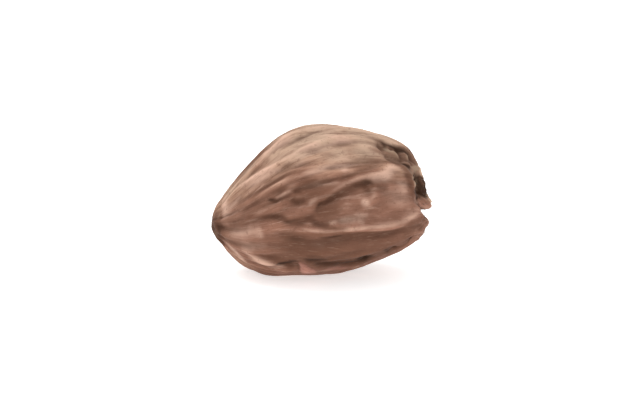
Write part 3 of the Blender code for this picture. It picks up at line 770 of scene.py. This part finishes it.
@dataclass(frozen=True)
class FineRelief:
    """Wrinkles between the folds: fibrous ridges along the grain, dimples, and the ragged split."""

    brush: Brush
    patch_size: float = 4.5
    full_radii: tuple[float, float] = (2.0, 8.5)
    ridge_height: float = 0.060
    ridge_size: float = 0.95
    broad_size: tuple[float, float, float] = (1.9, 1.9, 1.3)
    fibre_height: float = 0.030
    fibre_size: tuple[float, float, float] = (0.42, 0.42, 0.6)
    dimple_height: float = 0.035
    dimple_sizes: tuple[float, float] = (1.3, 0.6)
    ragged_height: float = 0.16
    ragged_from: tuple[float, float] = (12.2, 14.2)
    ragged_size: tuple[float, float, float] = (0.9, 0.55, 0.55)
    ragged_detail: float = 0.35
    scar_place: tuple[float, float, float] = (-14.8, -0.9, 6.2)
    scar_rim: float = 0.08
    scar_rim_radius: float = 1.35
    scar_rim_width: float = 0.4
    scar_pit: float = 0.14
    scar_pit_radius: float = 0.95

    def heights(self, points: Array, grain: Array, radius: Array) -> Array:
        """The fine relief in millimetres.

        Ridges are 0.5 - 1.6|n| of a noise n stretched along the grain, so their crests are sharp.
        Ridges and fibres are higher in some patches than in others. They fade towards both ends,
        between the two full radii.

        Args:
            points: The skin's points, in millimetres.
            grain: The grain's places for the same points.
            radius: Each point's rough distance from the pod's axis.

        Returns:
            One height for each point.
        """
        patches = 0.75 + 0.6 * Lattice(11).values(points / self.patch_size)
        fading = 0.1 + 0.9 * smoothstep(radius, *self.full_radii)
        ridges = 0.5 - 1.6 * np.abs(Lattice(12).values(grain / self.ridge_size))
        broad = 0.5 - 1.6 * np.abs(Lattice(13).values(grain / self.broad_size + 7))
        fibres = Lattice(14).values(grain / self.fibre_size)
        large, small = self.dimple_sizes
        dimples = Lattice(15).values(points / large) + 0.6 * Lattice(16).values(points / small)
        relief = fading * np.clip(patches, 0.2, 1.4) * (
            self.ridge_height * (0.8 * ridges + 0.45 * broad) + self.fibre_height * fibres
        )
        relief += self.dimple_height * dimples * np.clip(radius / 4, 0.4, 1)
        relief += self.brush.lay_all(FINE_FOLDS, points)
        return relief + self.ragged(points) + self.scar(points)

    def ragged(self, points: Array) -> Array:
        """Torn edges at the blunt end: coarse noise that grows over its last two millimetres."""
        torn = smoothstep(points[:, 0], *self.ragged_from)
        coarse = Lattice(17).values(points / self.ragged_size)
        noise = coarse + 0.5 * Lattice(18).values(points / self.ragged_detail)
        return self.ragged_height * torn * noise

    def scar(self, points: Array) -> Array:
        """The stalk scar: a raised rim round a shallow pit, by distance from the narrow end."""
        distance = self.from_scar(points)
        uneven = 1 + 0.6 * Lattice(19).values(points / 0.7)
        off_rim = (distance - self.scar_rim_radius) / self.scar_rim_width
        rim = self.scar_rim * uneven * np.exp(-(off_rim**2))
        return rim - self.scar_pit * uneven * np.exp(-((distance / self.scar_pit_radius) ** 4))

    def from_scar(self, points: Array) -> Array:
        """Each point's distance from the middle of the stalk scar, in millimetres."""
        return np.linalg.norm(points - self.scar_place, axis=1)


@dataclass(frozen=True)
class CavityShade:
    """Tells crests from hollows for painted shade and highlight, by how far the relief stands above
    a blur.
    """

    widths: tuple[float, ...] = (0.35, 0.9)
    round_weight: float = 0.7
    along_weight: float = 0.3
    depth: float = 0.26

    def find(self, relief: Array, radii: Array, ring_step: float) -> Array:
        """Values from about -1 in a crease to 1 on a crest.

        Each ring is blurred by a Gaussian of fixed width in millimetres: its Fourier terms are
        scaled by exp(-(k w / r)^2 / 2). The same is done along the rings.

        Args:
            relief: Heights, with a row for each ring.
            radii: Each ring's radius in millimetres.
            ring_step: The mean distance between rings.

        Returns:
            An array shaped like relief.
        """
        total = np.zeros_like(relief)
        waves = np.arange(relief.shape[1] // 2 + 1)
        mirrored = np.concatenate([relief, relief[::-1]])
        along = np.fft.rfftfreq(len(mirrored), ring_step) * 2 * math.pi
        for width in self.widths:
            kept = np.exp(-((waves[None, :] * width / radii[:, None]) ** 2) / 2)
            around = np.fft.irfft(np.fft.rfft(relief, axis=1) * kept, relief.shape[1], axis=1)
            fade = np.exp(-((along * width) ** 2) / 2)[:, None]
            blurred = np.fft.irfft(np.fft.rfft(mirrored, axis=0) * fade, len(mirrored), axis=0)
            total += self.round_weight * (relief - around)
            total += self.along_weight * (relief - blurred[: len(relief)])
        return np.tanh(total / self.depth)


class Graph:
    """Adds shader nodes to one material and joins them."""

    def __init__(self, name: str) -> None:
        """Starts an empty material.

        Args:
            name: The material's name.
        """
        self.material = bpy.data.materials.new(name)
        self.material.use_nodes = True
        self.tree = self.material.node_tree
        self.shader = self.tree.nodes["Principled BSDF"]

    def link(self, value: object, socket: bpy.types.NodeSocket) -> None:
        """Joins a socket to this one, or sets this one to a plain value."""
        if isinstance(value, bpy.types.NodeSocket):
            self.tree.links.new(value, socket)
        else:
            socket.default_value = value

    def attribute(self, name: str, vector: bool = False) -> bpy.types.NodeSocket:
        """The mesh's attribute of this name, as a number or a vector."""
        node = self.tree.nodes.new("ShaderNodeAttribute")
        node.attribute_name = name
        return node.outputs["Vector" if vector else "Fac"]

    def object_place(self) -> bpy.types.NodeSocket:
        """The place in the object's own coordinates, in metres."""
        return self.tree.nodes.new("ShaderNodeTexCoord").outputs["Object"]

    def noise(
        self, place: bpy.types.NodeSocket, scale: float, detail: float, rough: float = 0.55
    ) -> bpy.types.NodeSocket:
        """Noise from 0 to 1.

        Args:
            place: The vector to read it at.
            scale: Cells for each unit of that vector.
            detail: Octaves.
            rough: The share that each octave keeps.

        Returns:
            The noise's value socket.
        """
        node = self.tree.nodes.new("ShaderNodeTexNoise")
        self.link(place, node.inputs["Vector"])
        node.inputs["Scale"].default_value = scale
        node.inputs["Detail"].default_value = detail
        node.inputs["Roughness"].default_value = rough
        return node.outputs["Fac"]

    def math(self, kind: str, a: object, b: object = 0.0, c: object = 0.0) -> bpy.types.NodeSocket:
        """A sum, product or other function of up to three numbers."""
        node = self.tree.nodes.new("ShaderNodeMath")
        node.operation = kind
        for value, socket in zip((a, b, c), node.inputs):
            self.link(value, socket)
        return node.outputs[0]

    def remap(
        self, value: bpy.types.NodeSocket, start: float, end: float, high: float = 1.0
    ) -> bpy.types.NodeSocket:
        """A smooth step from 0 to high, as the value goes from start to end."""
        node = self.tree.nodes.new("ShaderNodeMapRange")
        node.interpolation_type = "SMOOTHSTEP"
        for item, socket in zip((value, start, end, 0.0, high), node.inputs):
            self.link(item, socket)
        return node.outputs["Result"]

    def mix(self, share: object, a: object, b: object) -> bpy.types.NodeSocket:
        """Colour b over colour a by this share.

        Args:
            share: The share of b, a number or a socket.
            a: The colour below, as a socket or three numbers.
            b: The colour on top.

        Returns:
            The mixed colour.
        """
        node = self.tree.nodes.new("ShaderNodeMix")
        node.data_type = "RGBA"
        node.clamp_factor = True
        self.link(share, node.inputs["Factor"])
        for value, socket in ((a, node.inputs["A"]), (b, node.inputs["B"])):
            socket = [s for s in node.inputs if s.name == socket.name and s.type == "RGBA"][0]
            self.link(value if isinstance(value, bpy.types.NodeSocket) else (*value, 1.0), socket)
        return [s for s in node.outputs if s.type == "RGBA"][0]

    def layers(self, below: object, *coats: tuple[object, object]) -> bpy.types.NodeSocket:
        """A colour under several coats, each given as its share and its colour, in order."""
        for share, colour in coats:
            below = self.mix(share, below, colour)
        return below

    def scale(
        self, colour: bpy.types.NodeSocket, factor: bpy.types.NodeSocket
    ) -> bpy.types.NodeSocket:
        """The colour made brighter or darker by a factor."""
        node = self.tree.nodes.new("ShaderNodeVectorMath")
        node.operation = "SCALE"
        self.link(colour, node.inputs["Vector"])
        self.link(factor, node.inputs["Scale"])
        return node.outputs["Vector"]

    def bump(self, height: bpy.types.NodeSocket, distance: float) -> None:
        """Tilts the surface by this height, over a distance in metres."""
        node = self.tree.nodes.new("ShaderNodeBump")
        node.inputs["Strength"].default_value = 1.0
        node.inputs["Distance"].default_value = distance
        self.link(height, node.inputs["Height"])
        self.link(node.outputs["Normal"], self.shader.inputs["Normal"])


@dataclass(frozen=True)
class HuskFinish:
    """Dry husk: red-brown, tan and sheen painted above, painted shade dusky in creases, black in
    hollows.
    """

    brown: Colour = (0.212, 0.101, 0.067)
    fawn: Colour = (0.360, 0.208, 0.140)
    tan: Colour = (0.460, 0.312, 0.224)
    pale: Colour = (0.545, 0.350, 0.265)
    dusk: Colour = (0.112, 0.049, 0.029)
    # Nearly black: painted shade in the hollows, and the stalk scar's own dark
    scar_dark_and_hollow_shade: Colour = (0.030, 0.011, 0.004)
    worn: Colour = (0.305, 0.208, 0.142)
    blush: Colour = (0.400, 0.190, 0.145)
    # Darkening along the threads, and painted shade in the creases
    thread_and_crease_shade: Colour = (0.100, 0.041, 0.022)
    streak_scale: float = 1.5
    thread_scale: float = 5.0
    mottle_scale: float = 330.0
    grit_scale: float = 1900.0
    shine: float = 0.10
    bump_depth: float = 0.06 * MM

    def make(self) -> bpy.types.Material:
        """The husk's material.

        Coats painted on the mesh, both stains and painted light and shade, are broken up by noise
        along the grain, so that none has a clean edge. Creases are darker and crests paler, as
        painted shade and painted highlight. A coat's numbers say where its paint or noise begins to
        show, where it is full, and how much it then covers.

        Returns:
            The material.
        """
        graph = Graph("dried_husk")
        place, grain = graph.object_place(), graph.attribute("grain", vector=True)
        streaks = graph.noise(grain, self.streak_scale, 4, 0.62)
        threads = graph.noise(grain, self.thread_scale, 3, 0.6)
        mottle = graph.noise(place, self.mottle_scale, 4, 0.6)
        grit = graph.noise(place, self.grit_scale, 2, 0.6)
        crest = graph.attribute("crest")
        coarse, fine = graph.math("MULTIPLY", streaks, 0.6), graph.math("MULTIPLY", mottle, 0.4)
        break_up = graph.math("ADD", coarse, fine)

        def painted_coat(
            name: str, start: float, end: float, strength: float = 1.0
        ) -> bpy.types.NodeSocket:
            """A painted coat, stain and painted light and shade alike, with a broken edge: bare at
            start, full at end.
            """
            paint = graph.math("MULTIPLY_ADD", break_up, 0.5, graph.attribute(name))
            return graph.math("MULTIPLY", graph.remap(paint, start, end), strength)

        colour = graph.layers(
            self.brown,
            # Paler and tanner along the top: partly painted sheen of the light from above
            (painted_coat("pale_top_and_sheen", 0.25, 0.95), self.fawn),
            (painted_coat("pale_top_and_sheen", 0.80, 1.30), self.tan),
            (graph.remap(streaks, 0.52, 0.75, 0.45), self.pale),
            (graph.remap(streaks, 0.50, 0.28, 0.50), self.dusk),
            (graph.remap(mottle, 0.50, 0.30, 0.28), self.brown),
            (painted_coat("blush", 0.35, 1.00, 0.80), self.blush),
            # Pale coat: partly paler skin, partly painted highlight
            (painted_coat("pale", 0.30, 1.25, 0.85), self.pale),
            # Dusky coat: mostly painted shade in creases, under the keel and in the hollows
            (painted_coat("dusk", 0.30, 1.25, 0.90), self.dusk),
            # Painted shade in the creases, from the cavity measure
            (graph.remap(crest, -0.10, -0.90, 0.45), self.thread_and_crease_shade),
        )
        # Nearly black for painted shade in the hollows and the dark scar, less black on crests
        black = graph.mix(graph.remap(crest, 0.1, 1.0, 0.5), self.scar_dark_and_hollow_shade, self.dusk)
        colour = graph.layers(
            # Scaled by the cavity measure: painted shade in creases, painted highlight on crests
            graph.scale(colour, graph.math("MULTIPLY_ADD", crest, 0.32, 1.0)),
            (graph.remap(threads, 0.56, 0.72, 0.13), self.pale),
            (graph.remap(threads, 0.46, 0.30, 0.26), self.thread_and_crease_shade),
            # Near-black coat: painted shade in hollows, the split and pits, and the scar's dark
            (painted_coat("scar_dark_and_hollow_shade", 0.35, 0.95, 0.95), black),
            (painted_coat("worn", 0.35, 1.00, 0.85), self.worn),
            (graph.remap(grit, 0.42, 0.28, 0.35), self.dusk),
        )
        graph.link(colour, graph.shader.inputs["Base Color"])
        rough = graph.math("MULTIPLY_ADD", mottle, 0.25, 0.58)
        rough = graph.math("MULTIPLY_ADD", crest, -0.05, rough)
        graph.link(rough, graph.shader.inputs["Roughness"])
        graph.shader.inputs["Specular IOR Level"].default_value = self.shine
        fibres = graph.math("MULTIPLY_ADD", threads, 1.0, graph.math("MULTIPLY", streaks, 0.6))
        graph.bump(graph.math("MULTIPLY_ADD", grit, 0.5, fibres), self.bump_depth)
        return graph.material


@dataclass(frozen=True)
class FibreFinish:
    """Loose dry fibres: straw to brown along their length."""

    root: Colour = (0.080, 0.042, 0.027)
    tip: Colour = (0.22, 0.15, 0.10)
    noise_scale: float = 2500.0

    def make(self) -> bpy.types.Material:
        """The fibres' material, mixed by the share of the length and by fine noise."""
        graph = Graph("loose_fibre")
        share = graph.attribute("length_share")
        noise = graph.noise(graph.object_place(), self.noise_scale, 2)
        colour = graph.mix(graph.math("MULTIPLY_ADD", noise, 0.4, share), self.root, self.tip)
        graph.link(colour, graph.shader.inputs["Base Color"])
        graph.link(graph.math("MULTIPLY_ADD", noise, 0.2, 0.55), graph.shader.inputs["Roughness"])
        return graph.material


@dataclass(frozen=True)
class FloorFinish:
    """Plain pale floor, faintly lit from below like a light table."""

    colour: Colour = (0.84, 0.84, 0.84)
    glow: float = 0.56

    def make(self) -> bpy.types.Material:
        """A matt pale material."""
        graph = Graph("floor")
        graph.shader.inputs["Base Color"].default_value = (*self.colour, 1.0)
        graph.shader.inputs["Roughness"].default_value = 0.9
        graph.shader.inputs["Specular IOR Level"].default_value = 0.0
        graph.shader.inputs["Emission Color"].default_value = (1.0, 1.0, 1.0, 1.0)
        graph.shader.inputs["Emission Strength"].default_value = self.glow
        return graph.material


def mesh_object(
    name: str, points: Array, faces: list, material: bpy.types.Material
) -> bpy.types.Object:
    """A smooth-shaded mesh object at the origin.

    Args:
        name: The object's name.
        points: Rows of x, y and z, in millimetres.
        faces: Rows or lists of corner numbers, in order seen from outside.
        material: What it is dressed in.

    Returns:
        The object, linked to the scene.
    """
    mesh = bpy.data.meshes.new(name)
    mesh.from_pydata((points * MM).tolist(), [], faces)
    mesh.shade_smooth()
    mesh.materials.append(material)
    made = bpy.data.objects.new(name, mesh)
    bpy.context.scene.collection.objects.link(made)
    return made


def add_numbers(mesh: bpy.types.Mesh, name: str, values: Array) -> None:
    """Stores one number or one vector for each vertex under this name."""
    kind, part = ("FLOAT_VECTOR", "vector") if values.ndim == 2 else ("FLOAT", "value")
    stored = mesh.attributes.new(name, kind, "POINT").data
    stored.foreach_set(part, values.astype(np.float32).ravel())


@dataclass(frozen=True)
class PaleTopAndSheen:
    """How pale the husk is: most along its top, where it is partly painted sheen of the light from
    above, and a little all round its narrow end.

    Angles are in degrees, and spans are millimetres from the middle towards the narrow end.
    """

    top_line: float = 98.0
    full_within: float = 32.0
    none_beyond: float = 82.0
    top_loss: float = 0.25
    top_loss_span: tuple[float, float] = (1.0, 8.0)
    narrow_share: float = 0.24
    narrow_span: tuple[float, float] = (6.0, 12.0)
    patchiness: float = 0.25
    patch_size: float = 3.5
    most: float = 1.2

    def values(self, angles: Array, points: Array) -> Array:
        """The paleness at each point, broken up into patches.

        Args:
            angles: Angles round the pod, in radians.
            points: The skin's points, in millimetres.

        Returns:
            One share for each point.
        """
        from_line = np.abs((np.degrees(angles) - self.top_line + 180) % 360 - 180)
        top = smoothstep(-from_line, -self.none_beyond, -self.full_within)
        towards_narrow = -points[:, 0]
        top *= 1 - self.top_loss * smoothstep(towards_narrow, *self.top_loss_span)
        narrow = self.narrow_share * smoothstep(towards_narrow, *self.narrow_span)
        patches = self.patchiness * Lattice(31).values(points / self.patch_size)
        return np.clip(top + narrow * (1 - top) + patches, 0, self.most)


@dataclass(frozen=True)
class Streaks:
    """One kind of seeded stain for the sides that the reference view doesn't show.

    Attributes:
        count: How many there are.
        strength: The most that one of them colours.
        widths: The narrowest and the widest upper flank, in millimetres.
        starts: Where along the pod they begin, from and to.
    """

    count: int
    strength: float
    widths: tuple[float, float]
    starts: tuple[float, float]


@dataclass
class Husk:
    """The pod's husk as one closed skin of rings round the pod."""

    skin: Skin = field(default_factory=Skin)
    grain: Grain = field(default_factory=Grain)
    finish: HuskFinish = field(default_factory=HuskFinish)
    rings: int = 247
    around: int = 400
    crowding: float = 0.12
    ring_step: float = 0.17
    # The cavity measure at both poles: a crease value, so painted shade there
    pole_cavity_shade: float = -0.5
    lip_shift: tuple[float, float, float] = (0.50, -0.1, -0.42)
    scar_edge: tuple[float, float] = (1.7, 3.0)
    scar_patches: float = 0.6
    scar_patch_size: tuple[float, float, float] = (0.8, 1.4, 1.4)
    scar_dusk: float = 0.95
    scar_soot: float = 0.34
    far_seed: int = 23
    far_pale: Streaks = Streaks(34, 0.7, (0.3, 0.8), (-13, 9))
    far_dusky: Streaks = Streaks(30, 0.8, (0.3, 0.9), (-13, 10))
    far_black: Streaks = Streaks(7, 0.8, (0.35, 0.7), (8, 12))
    far_angles: tuple[float, float] = (120, 285)
    far_lengths: tuple[float, float] = (1.5, 6)
    far_wander: float = 4.0
    far_limit: float = 13.2

    def directions(self) -> Array:
        """The directions of every vertex: the rings in order, then the two poles.

        Ring i lies at the station s(t) = pi (t + crowding * t (1 - t)), so that rings are closer
        at the blunt end.

        Returns:
            Rows of unit vectors.
        """
        t = (np.arange(self.rings) + 1) / (self.rings + 1)
        stations = math.pi * (t + self.crowding * t * (1 - t))
        turns = 2 * math.pi * np.arange(self.around) / self.around
        s, a = (grid.ravel() for grid in np.meshgrid(stations, turns, indexing="ij"))
        rings = np.stack([-np.cos(s), -np.sin(s) * np.cos(a), np.sin(s) * np.sin(a)], axis=1)
        return np.concatenate([rings, [[-1.0, 0.0, 0.0], [1.0, 0.0, 0.0]]])

    def faces(self) -> list:
        """Four-cornered faces between the rings, and a fan of triangles round each pole."""
        index = np.arange(self.rings * self.around).reshape(self.rings, self.around)
        onward = np.roll(index, -1, axis=1)
        quads = np.stack([index[:-1], index[1:], onward[1:], onward[:-1]], axis=2).reshape(-1, 4)
        start, end = index.size, index.size + 1
        narrow = [[start, a, b] for a, b in zip(index[0], onward[0])]
        blunt = [[end, b, a] for a, b in zip(index[-1], onward[-1])]
        return [*quads.tolist(), *narrow, *blunt]

    def far_stains(self, kind: Streaks, rng: random.Random) -> list[Stroke]:
        """Wandering streaks of one kind along the far side.

        Args:
            kind: Their number, strength, widths and place.
            rng: Where the random numbers come from.

        Returns:
            One stroke for each streak.
        """
        made = []
        for _ in range(kind.count):
            width = rng.uniform(*kind.widths)
            start, length = rng.uniform(*kind.starts), rng.uniform(*self.far_lengths)
            angle = rng.uniform(*self.far_angles)
            path = []
            for i in range(3):
                along = min(self.far_limit, start + length * i / 2)
                path.append((along, angle + rng.uniform(-self.far_wander, self.far_wander)))
            strength = kind.strength * rng.uniform(0.6, 1)
            made.append(Stroke(tuple(path), strength, width, width * rng.uniform(0.7, 1)))
        return made

    def scar_stain(self, from_scar: Array, points: Array) -> Array:
        """1 on the stalk scar and 0 away from it, with an uneven edge."""
        uneven = self.scar_patches * Lattice(32).values(points / self.scar_patch_size)
        return 1 - smoothstep(from_scar + uneven, *self.scar_edge)

    def build(self) -> bpy.types.Object:
        """Makes the husk and dresses it.

        Returns:
            The husk's object.
        """
        directions = self.directions()
        brush = Brush(self.skin)
        points, normals = self.skin.points(directions), self.skin.normals(directions)
        angles = self.skin.angles(directions)
        radius = self.skin.from_axis(directions)
        grain = self.grain.places(angles, points[:, 0])
        coarse, fine = CoarseRelief(self.skin, brush), FineRelief(brush)
        rest = coarse.resting_share(points)
        relief = coarse.heights(points, directions) + rest * fine.heights(points, grain, radius)
        placed = points + normals * relief[:, None]
        placed += brush.stain(LIP_CORNER, points)[:, None] * self.lip_shift
        placed[:, 2] = np.maximum(placed[:, 2], 0)
        made = mesh_object("husk_skin", placed, self.faces(), self.finish.make())
        rings = relief[:-2].reshape(self.rings, self.around)
        ring_radii = radius[:-2].reshape(rings.shape)[:, 0]
        # The cavity measure, for painted shade in creases and painted highlight on crests
        crest = CavityShade().find(rings, ring_radii, self.ring_step).ravel()
        scar = self.scar_stain(fine.from_scar(points), points)
        rng = random.Random(self.far_seed)
        kinds = (self.far_pale, self.far_dusky, self.far_black)
        pale, dusky, black = (self.far_stains(kind, rng) for kind in kinds)
        for name, values in (
            ("crest", np.concatenate([crest, [self.pole_cavity_shade, self.pole_cavity_shade]])),
            ("grain", grain),
            # Paler along the top, partly painted sheen
            ("pale_top_and_sheen", PaleTopAndSheen().values(angles, points)),
            # Pale coat, partly painted highlight
            ("pale", brush.stain([*PALE_AND_HIGHLIGHT, *pale], points)),
            # Dusky coat, mostly painted shade, and the dark stalk scar
            ("dusk", np.maximum(brush.stain([*DUSK_AND_SHADE, *dusky], points), self.scar_dusk * scar)),
            # Near-black coat: painted shade in the hollows, and the dark stalk scar
            ("scar_dark_and_hollow_shade", np.maximum(brush.stain([*SCAR_AND_HOLLOW_SHADE, *black], points), self.scar_soot * scar)),
            ("worn", brush.stain(WORN, points)),
            ("blush", brush.stain(BLUSH, points)),
        ):
            add_numbers(made.data, name, values)
        return made


@dataclass
class LooseFibres:
    """Short torn fibres at both ends of the pod, as thin tapered rods."""

    skin: Skin = field(default_factory=Skin)
    finish: FibreFinish = field(default_factory=FibreFinish)
    count: int = 46
    sections: int = 5
    sides: int = 4
    narrow_share: float = 1 / 3
    narrow_spread: tuple[float, float] = (0.10, 0.17)
    blunt_spread: tuple[float, float] = (0.16, 0.36)
    root_depth: float = 0.05
    root_radius: float = 0.045
    tip_radius: float = 0.012
    length: tuple[float, float] = (0.25, 0.55)
    narrow_length: float = 0.6
    lift: float = 0.5
    scatter: float = 0.5
    curl: float = 0.5
    seed: int = 5

    def roots(self, end: End) -> Array:
        """Directions in which fibres stand at one end of the pod.

        Args:
            end: Which end.

        Returns:
            Rows of unit vectors.
        """
        rng = np.random.default_rng(self.seed + end.value)
        if end is End.NARROW:
            count, spread = int(self.count * self.narrow_share), self.narrow_spread
        else:
            count, spread = self.count, self.blunt_spread
        angles = rng.uniform(0, 2 * math.pi, count)
        x = end.value * np.cos(rng.uniform(*spread, count))
        rest = np.sqrt(1 - x * x)
        return np.stack([x, -rest * np.cos(angles), rest * np.sin(angles)], axis=1)

    def build(self) -> bpy.types.Object:
        """Makes all the fibres as one mesh.

        Each rod's middle line is root + length * (t * way + curl * t^2 * side), and its radius
        goes from the root's to the tip's.

        Returns:
            The fibres' object.
        """
        rng = np.random.default_rng(self.seed)
        directions = np.concatenate([self.roots(end) for end in End])
        n = len(directions)
        at_blunt = directions[:, :1] > 0
        outward = np.where(at_blunt, 1.0, -1.0) * [[1.0, 0.0, 0.0]]
        normals = self.skin.normals(directions)
        roots = self.skin.points(directions) - self.root_depth * normals
        way = unit(self.lift * normals + outward + self.scatter * rng.normal(size=(n, 3)))
        side = unit(np.cross(way, rng.normal(size=(n, 3))))
        length = rng.uniform(*self.length, n)[:, None] * np.where(at_blunt, 1, self.narrow_length)
        t = np.linspace(0, 1, self.sections)[None, :, None]
        bent = t * way[:, None] + self.curl * t * t * side[:, None]
        line = roots[:, None] + length[..., None] * bent
        turn = 2 * math.pi * np.arange(self.sides) / self.sides
        thick = self.root_radius + (self.tip_radius - self.root_radius) * t[..., None]
        across = np.cross(way, side)[:, None, None]
        ring = np.cos(turn)[:, None] * side[:, None, None] + np.sin(turn)[:, None] * across
        points = line[:, :, None] + thick * ring
        index = np.arange(n * self.sections * self.sides).reshape(n, self.sections, self.sides)
        onward = np.roll(index, -1, axis=2)
        quads = np.stack([index[:, :-1], onward[:, :-1], onward[:, 1:], index[:, 1:]], axis=3)
        caps = np.concatenate([index[:, 0, ::-1], index[:, -1]])
        faces = [*quads.reshape(-1, 4).tolist(), *caps.tolist()]
        made = mesh_object("loose_fibres", points.reshape(-1, 3), faces, self.finish.make())
        shares = np.broadcast_to(t, index.shape)
        add_numbers(made.data, "length_share", shares.ravel())
        return made


@dataclass
class Studio:
    """The pale floor, the soft light and the camera.

    Lengths are in millimetres, but the floor's radius and the camera's two clip distances are in
    metres.
    """

    elevation: float = math.radians(14)
    distance: float = 244.0
    aim: tuple[float, float, float] = (-0.07, 0.0, 10.47)
    lens: float = 100.0
    sensor: float = 36.0
    clip: tuple[float, float] = (0.01, 50.0)
    floor_radius: float = 6.0
    floor_points: int = 48
    floor_gap: float = 0.01
    sky: float = 0.95
    sun: float = 1.45
    sun_size: float = math.radians(50)
    sun_tilt: tuple[float, float, float] = (math.radians(-12), math.radians(-14), 0.0)
    finish: FloorFinish = field(default_factory=FloorFinish)

    def camera(self) -> None:
        """Sets up the camera: it looks along +Y, and down by its elevation."""
        data = bpy.data.cameras.new("camera")
        data.lens, data.sensor_width = self.lens, self.sensor
        data.clip_start, data.clip_end = self.clip
        made = bpy.data.objects.new("camera", data)
        back = np.array([0.0, -math.cos(self.elevation), math.sin(self.elevation)])
        made.location = (np.array(self.aim) + self.distance * back) * MM
        made.rotation_euler = (math.pi / 2 - self.elevation, 0.0, 0.0)
        bpy.context.scene.collection.objects.link(made)
        bpy.context.scene.camera = made

    def floor(self) -> None:
        """Lays a round floor just under the pod: a fan of triangles round its middle."""
        count = self.floor_points
        turns = 2 * math.pi * np.arange(count) / count
        rim = np.stack([np.cos(turns), np.sin(turns), np.zeros(count)], axis=1)
        rim = rim * self.floor_radius / MM
        points = np.concatenate([rim, [[0.0, 0.0, 0.0]]]) - [0.0, 0.0, self.floor_gap]
        faces = [[count, i, (i + 1) % count] for i in range(count)]
        made = mesh_object("floor", points, faces, self.finish.make())

    def lights(self) -> None:
        """Sets up an even sky and one very soft sun, high and a little to the left."""
        world = bpy.data.worlds.new("sky")
        world.use_nodes = True
        background = world.node_tree.nodes["Background"]
        background.inputs["Color"].default_value = (1.0, 1.0, 1.0, 1.0)
        background.inputs["Strength"].default_value = self.sky
        bpy.context.scene.world = world
        data = bpy.data.lights.new("sun", "SUN")
        data.energy, data.angle = self.sun, self.sun_size
        made = bpy.data.objects.new("sun", data)
        made.rotation_euler = self.sun_tilt
        bpy.context.scene.collection.objects.link(made)

    def build(self) -> None:
        """Sets up everything round the pod."""
        self.camera()
        self.floor()
        self.lights()
        bpy.context.scene.view_settings.view_transform = "Standard"


def main() -> None:
    """Dresses the pod and sets up the studio."""
    logging.basicConfig(level=logging.INFO, format="%(name)s: %(message)s")
    Studio().build()
    log.info("studio ready")
    for piece in (Husk().build(), LooseFibres().build()):
        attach(piece, "root")
        log.info("%s: %d faces", piece.name, len(piece.data.polygons))
        if piece.name == "husk_skin":
            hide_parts("pod")


if __name__ == "__main__":
    main()
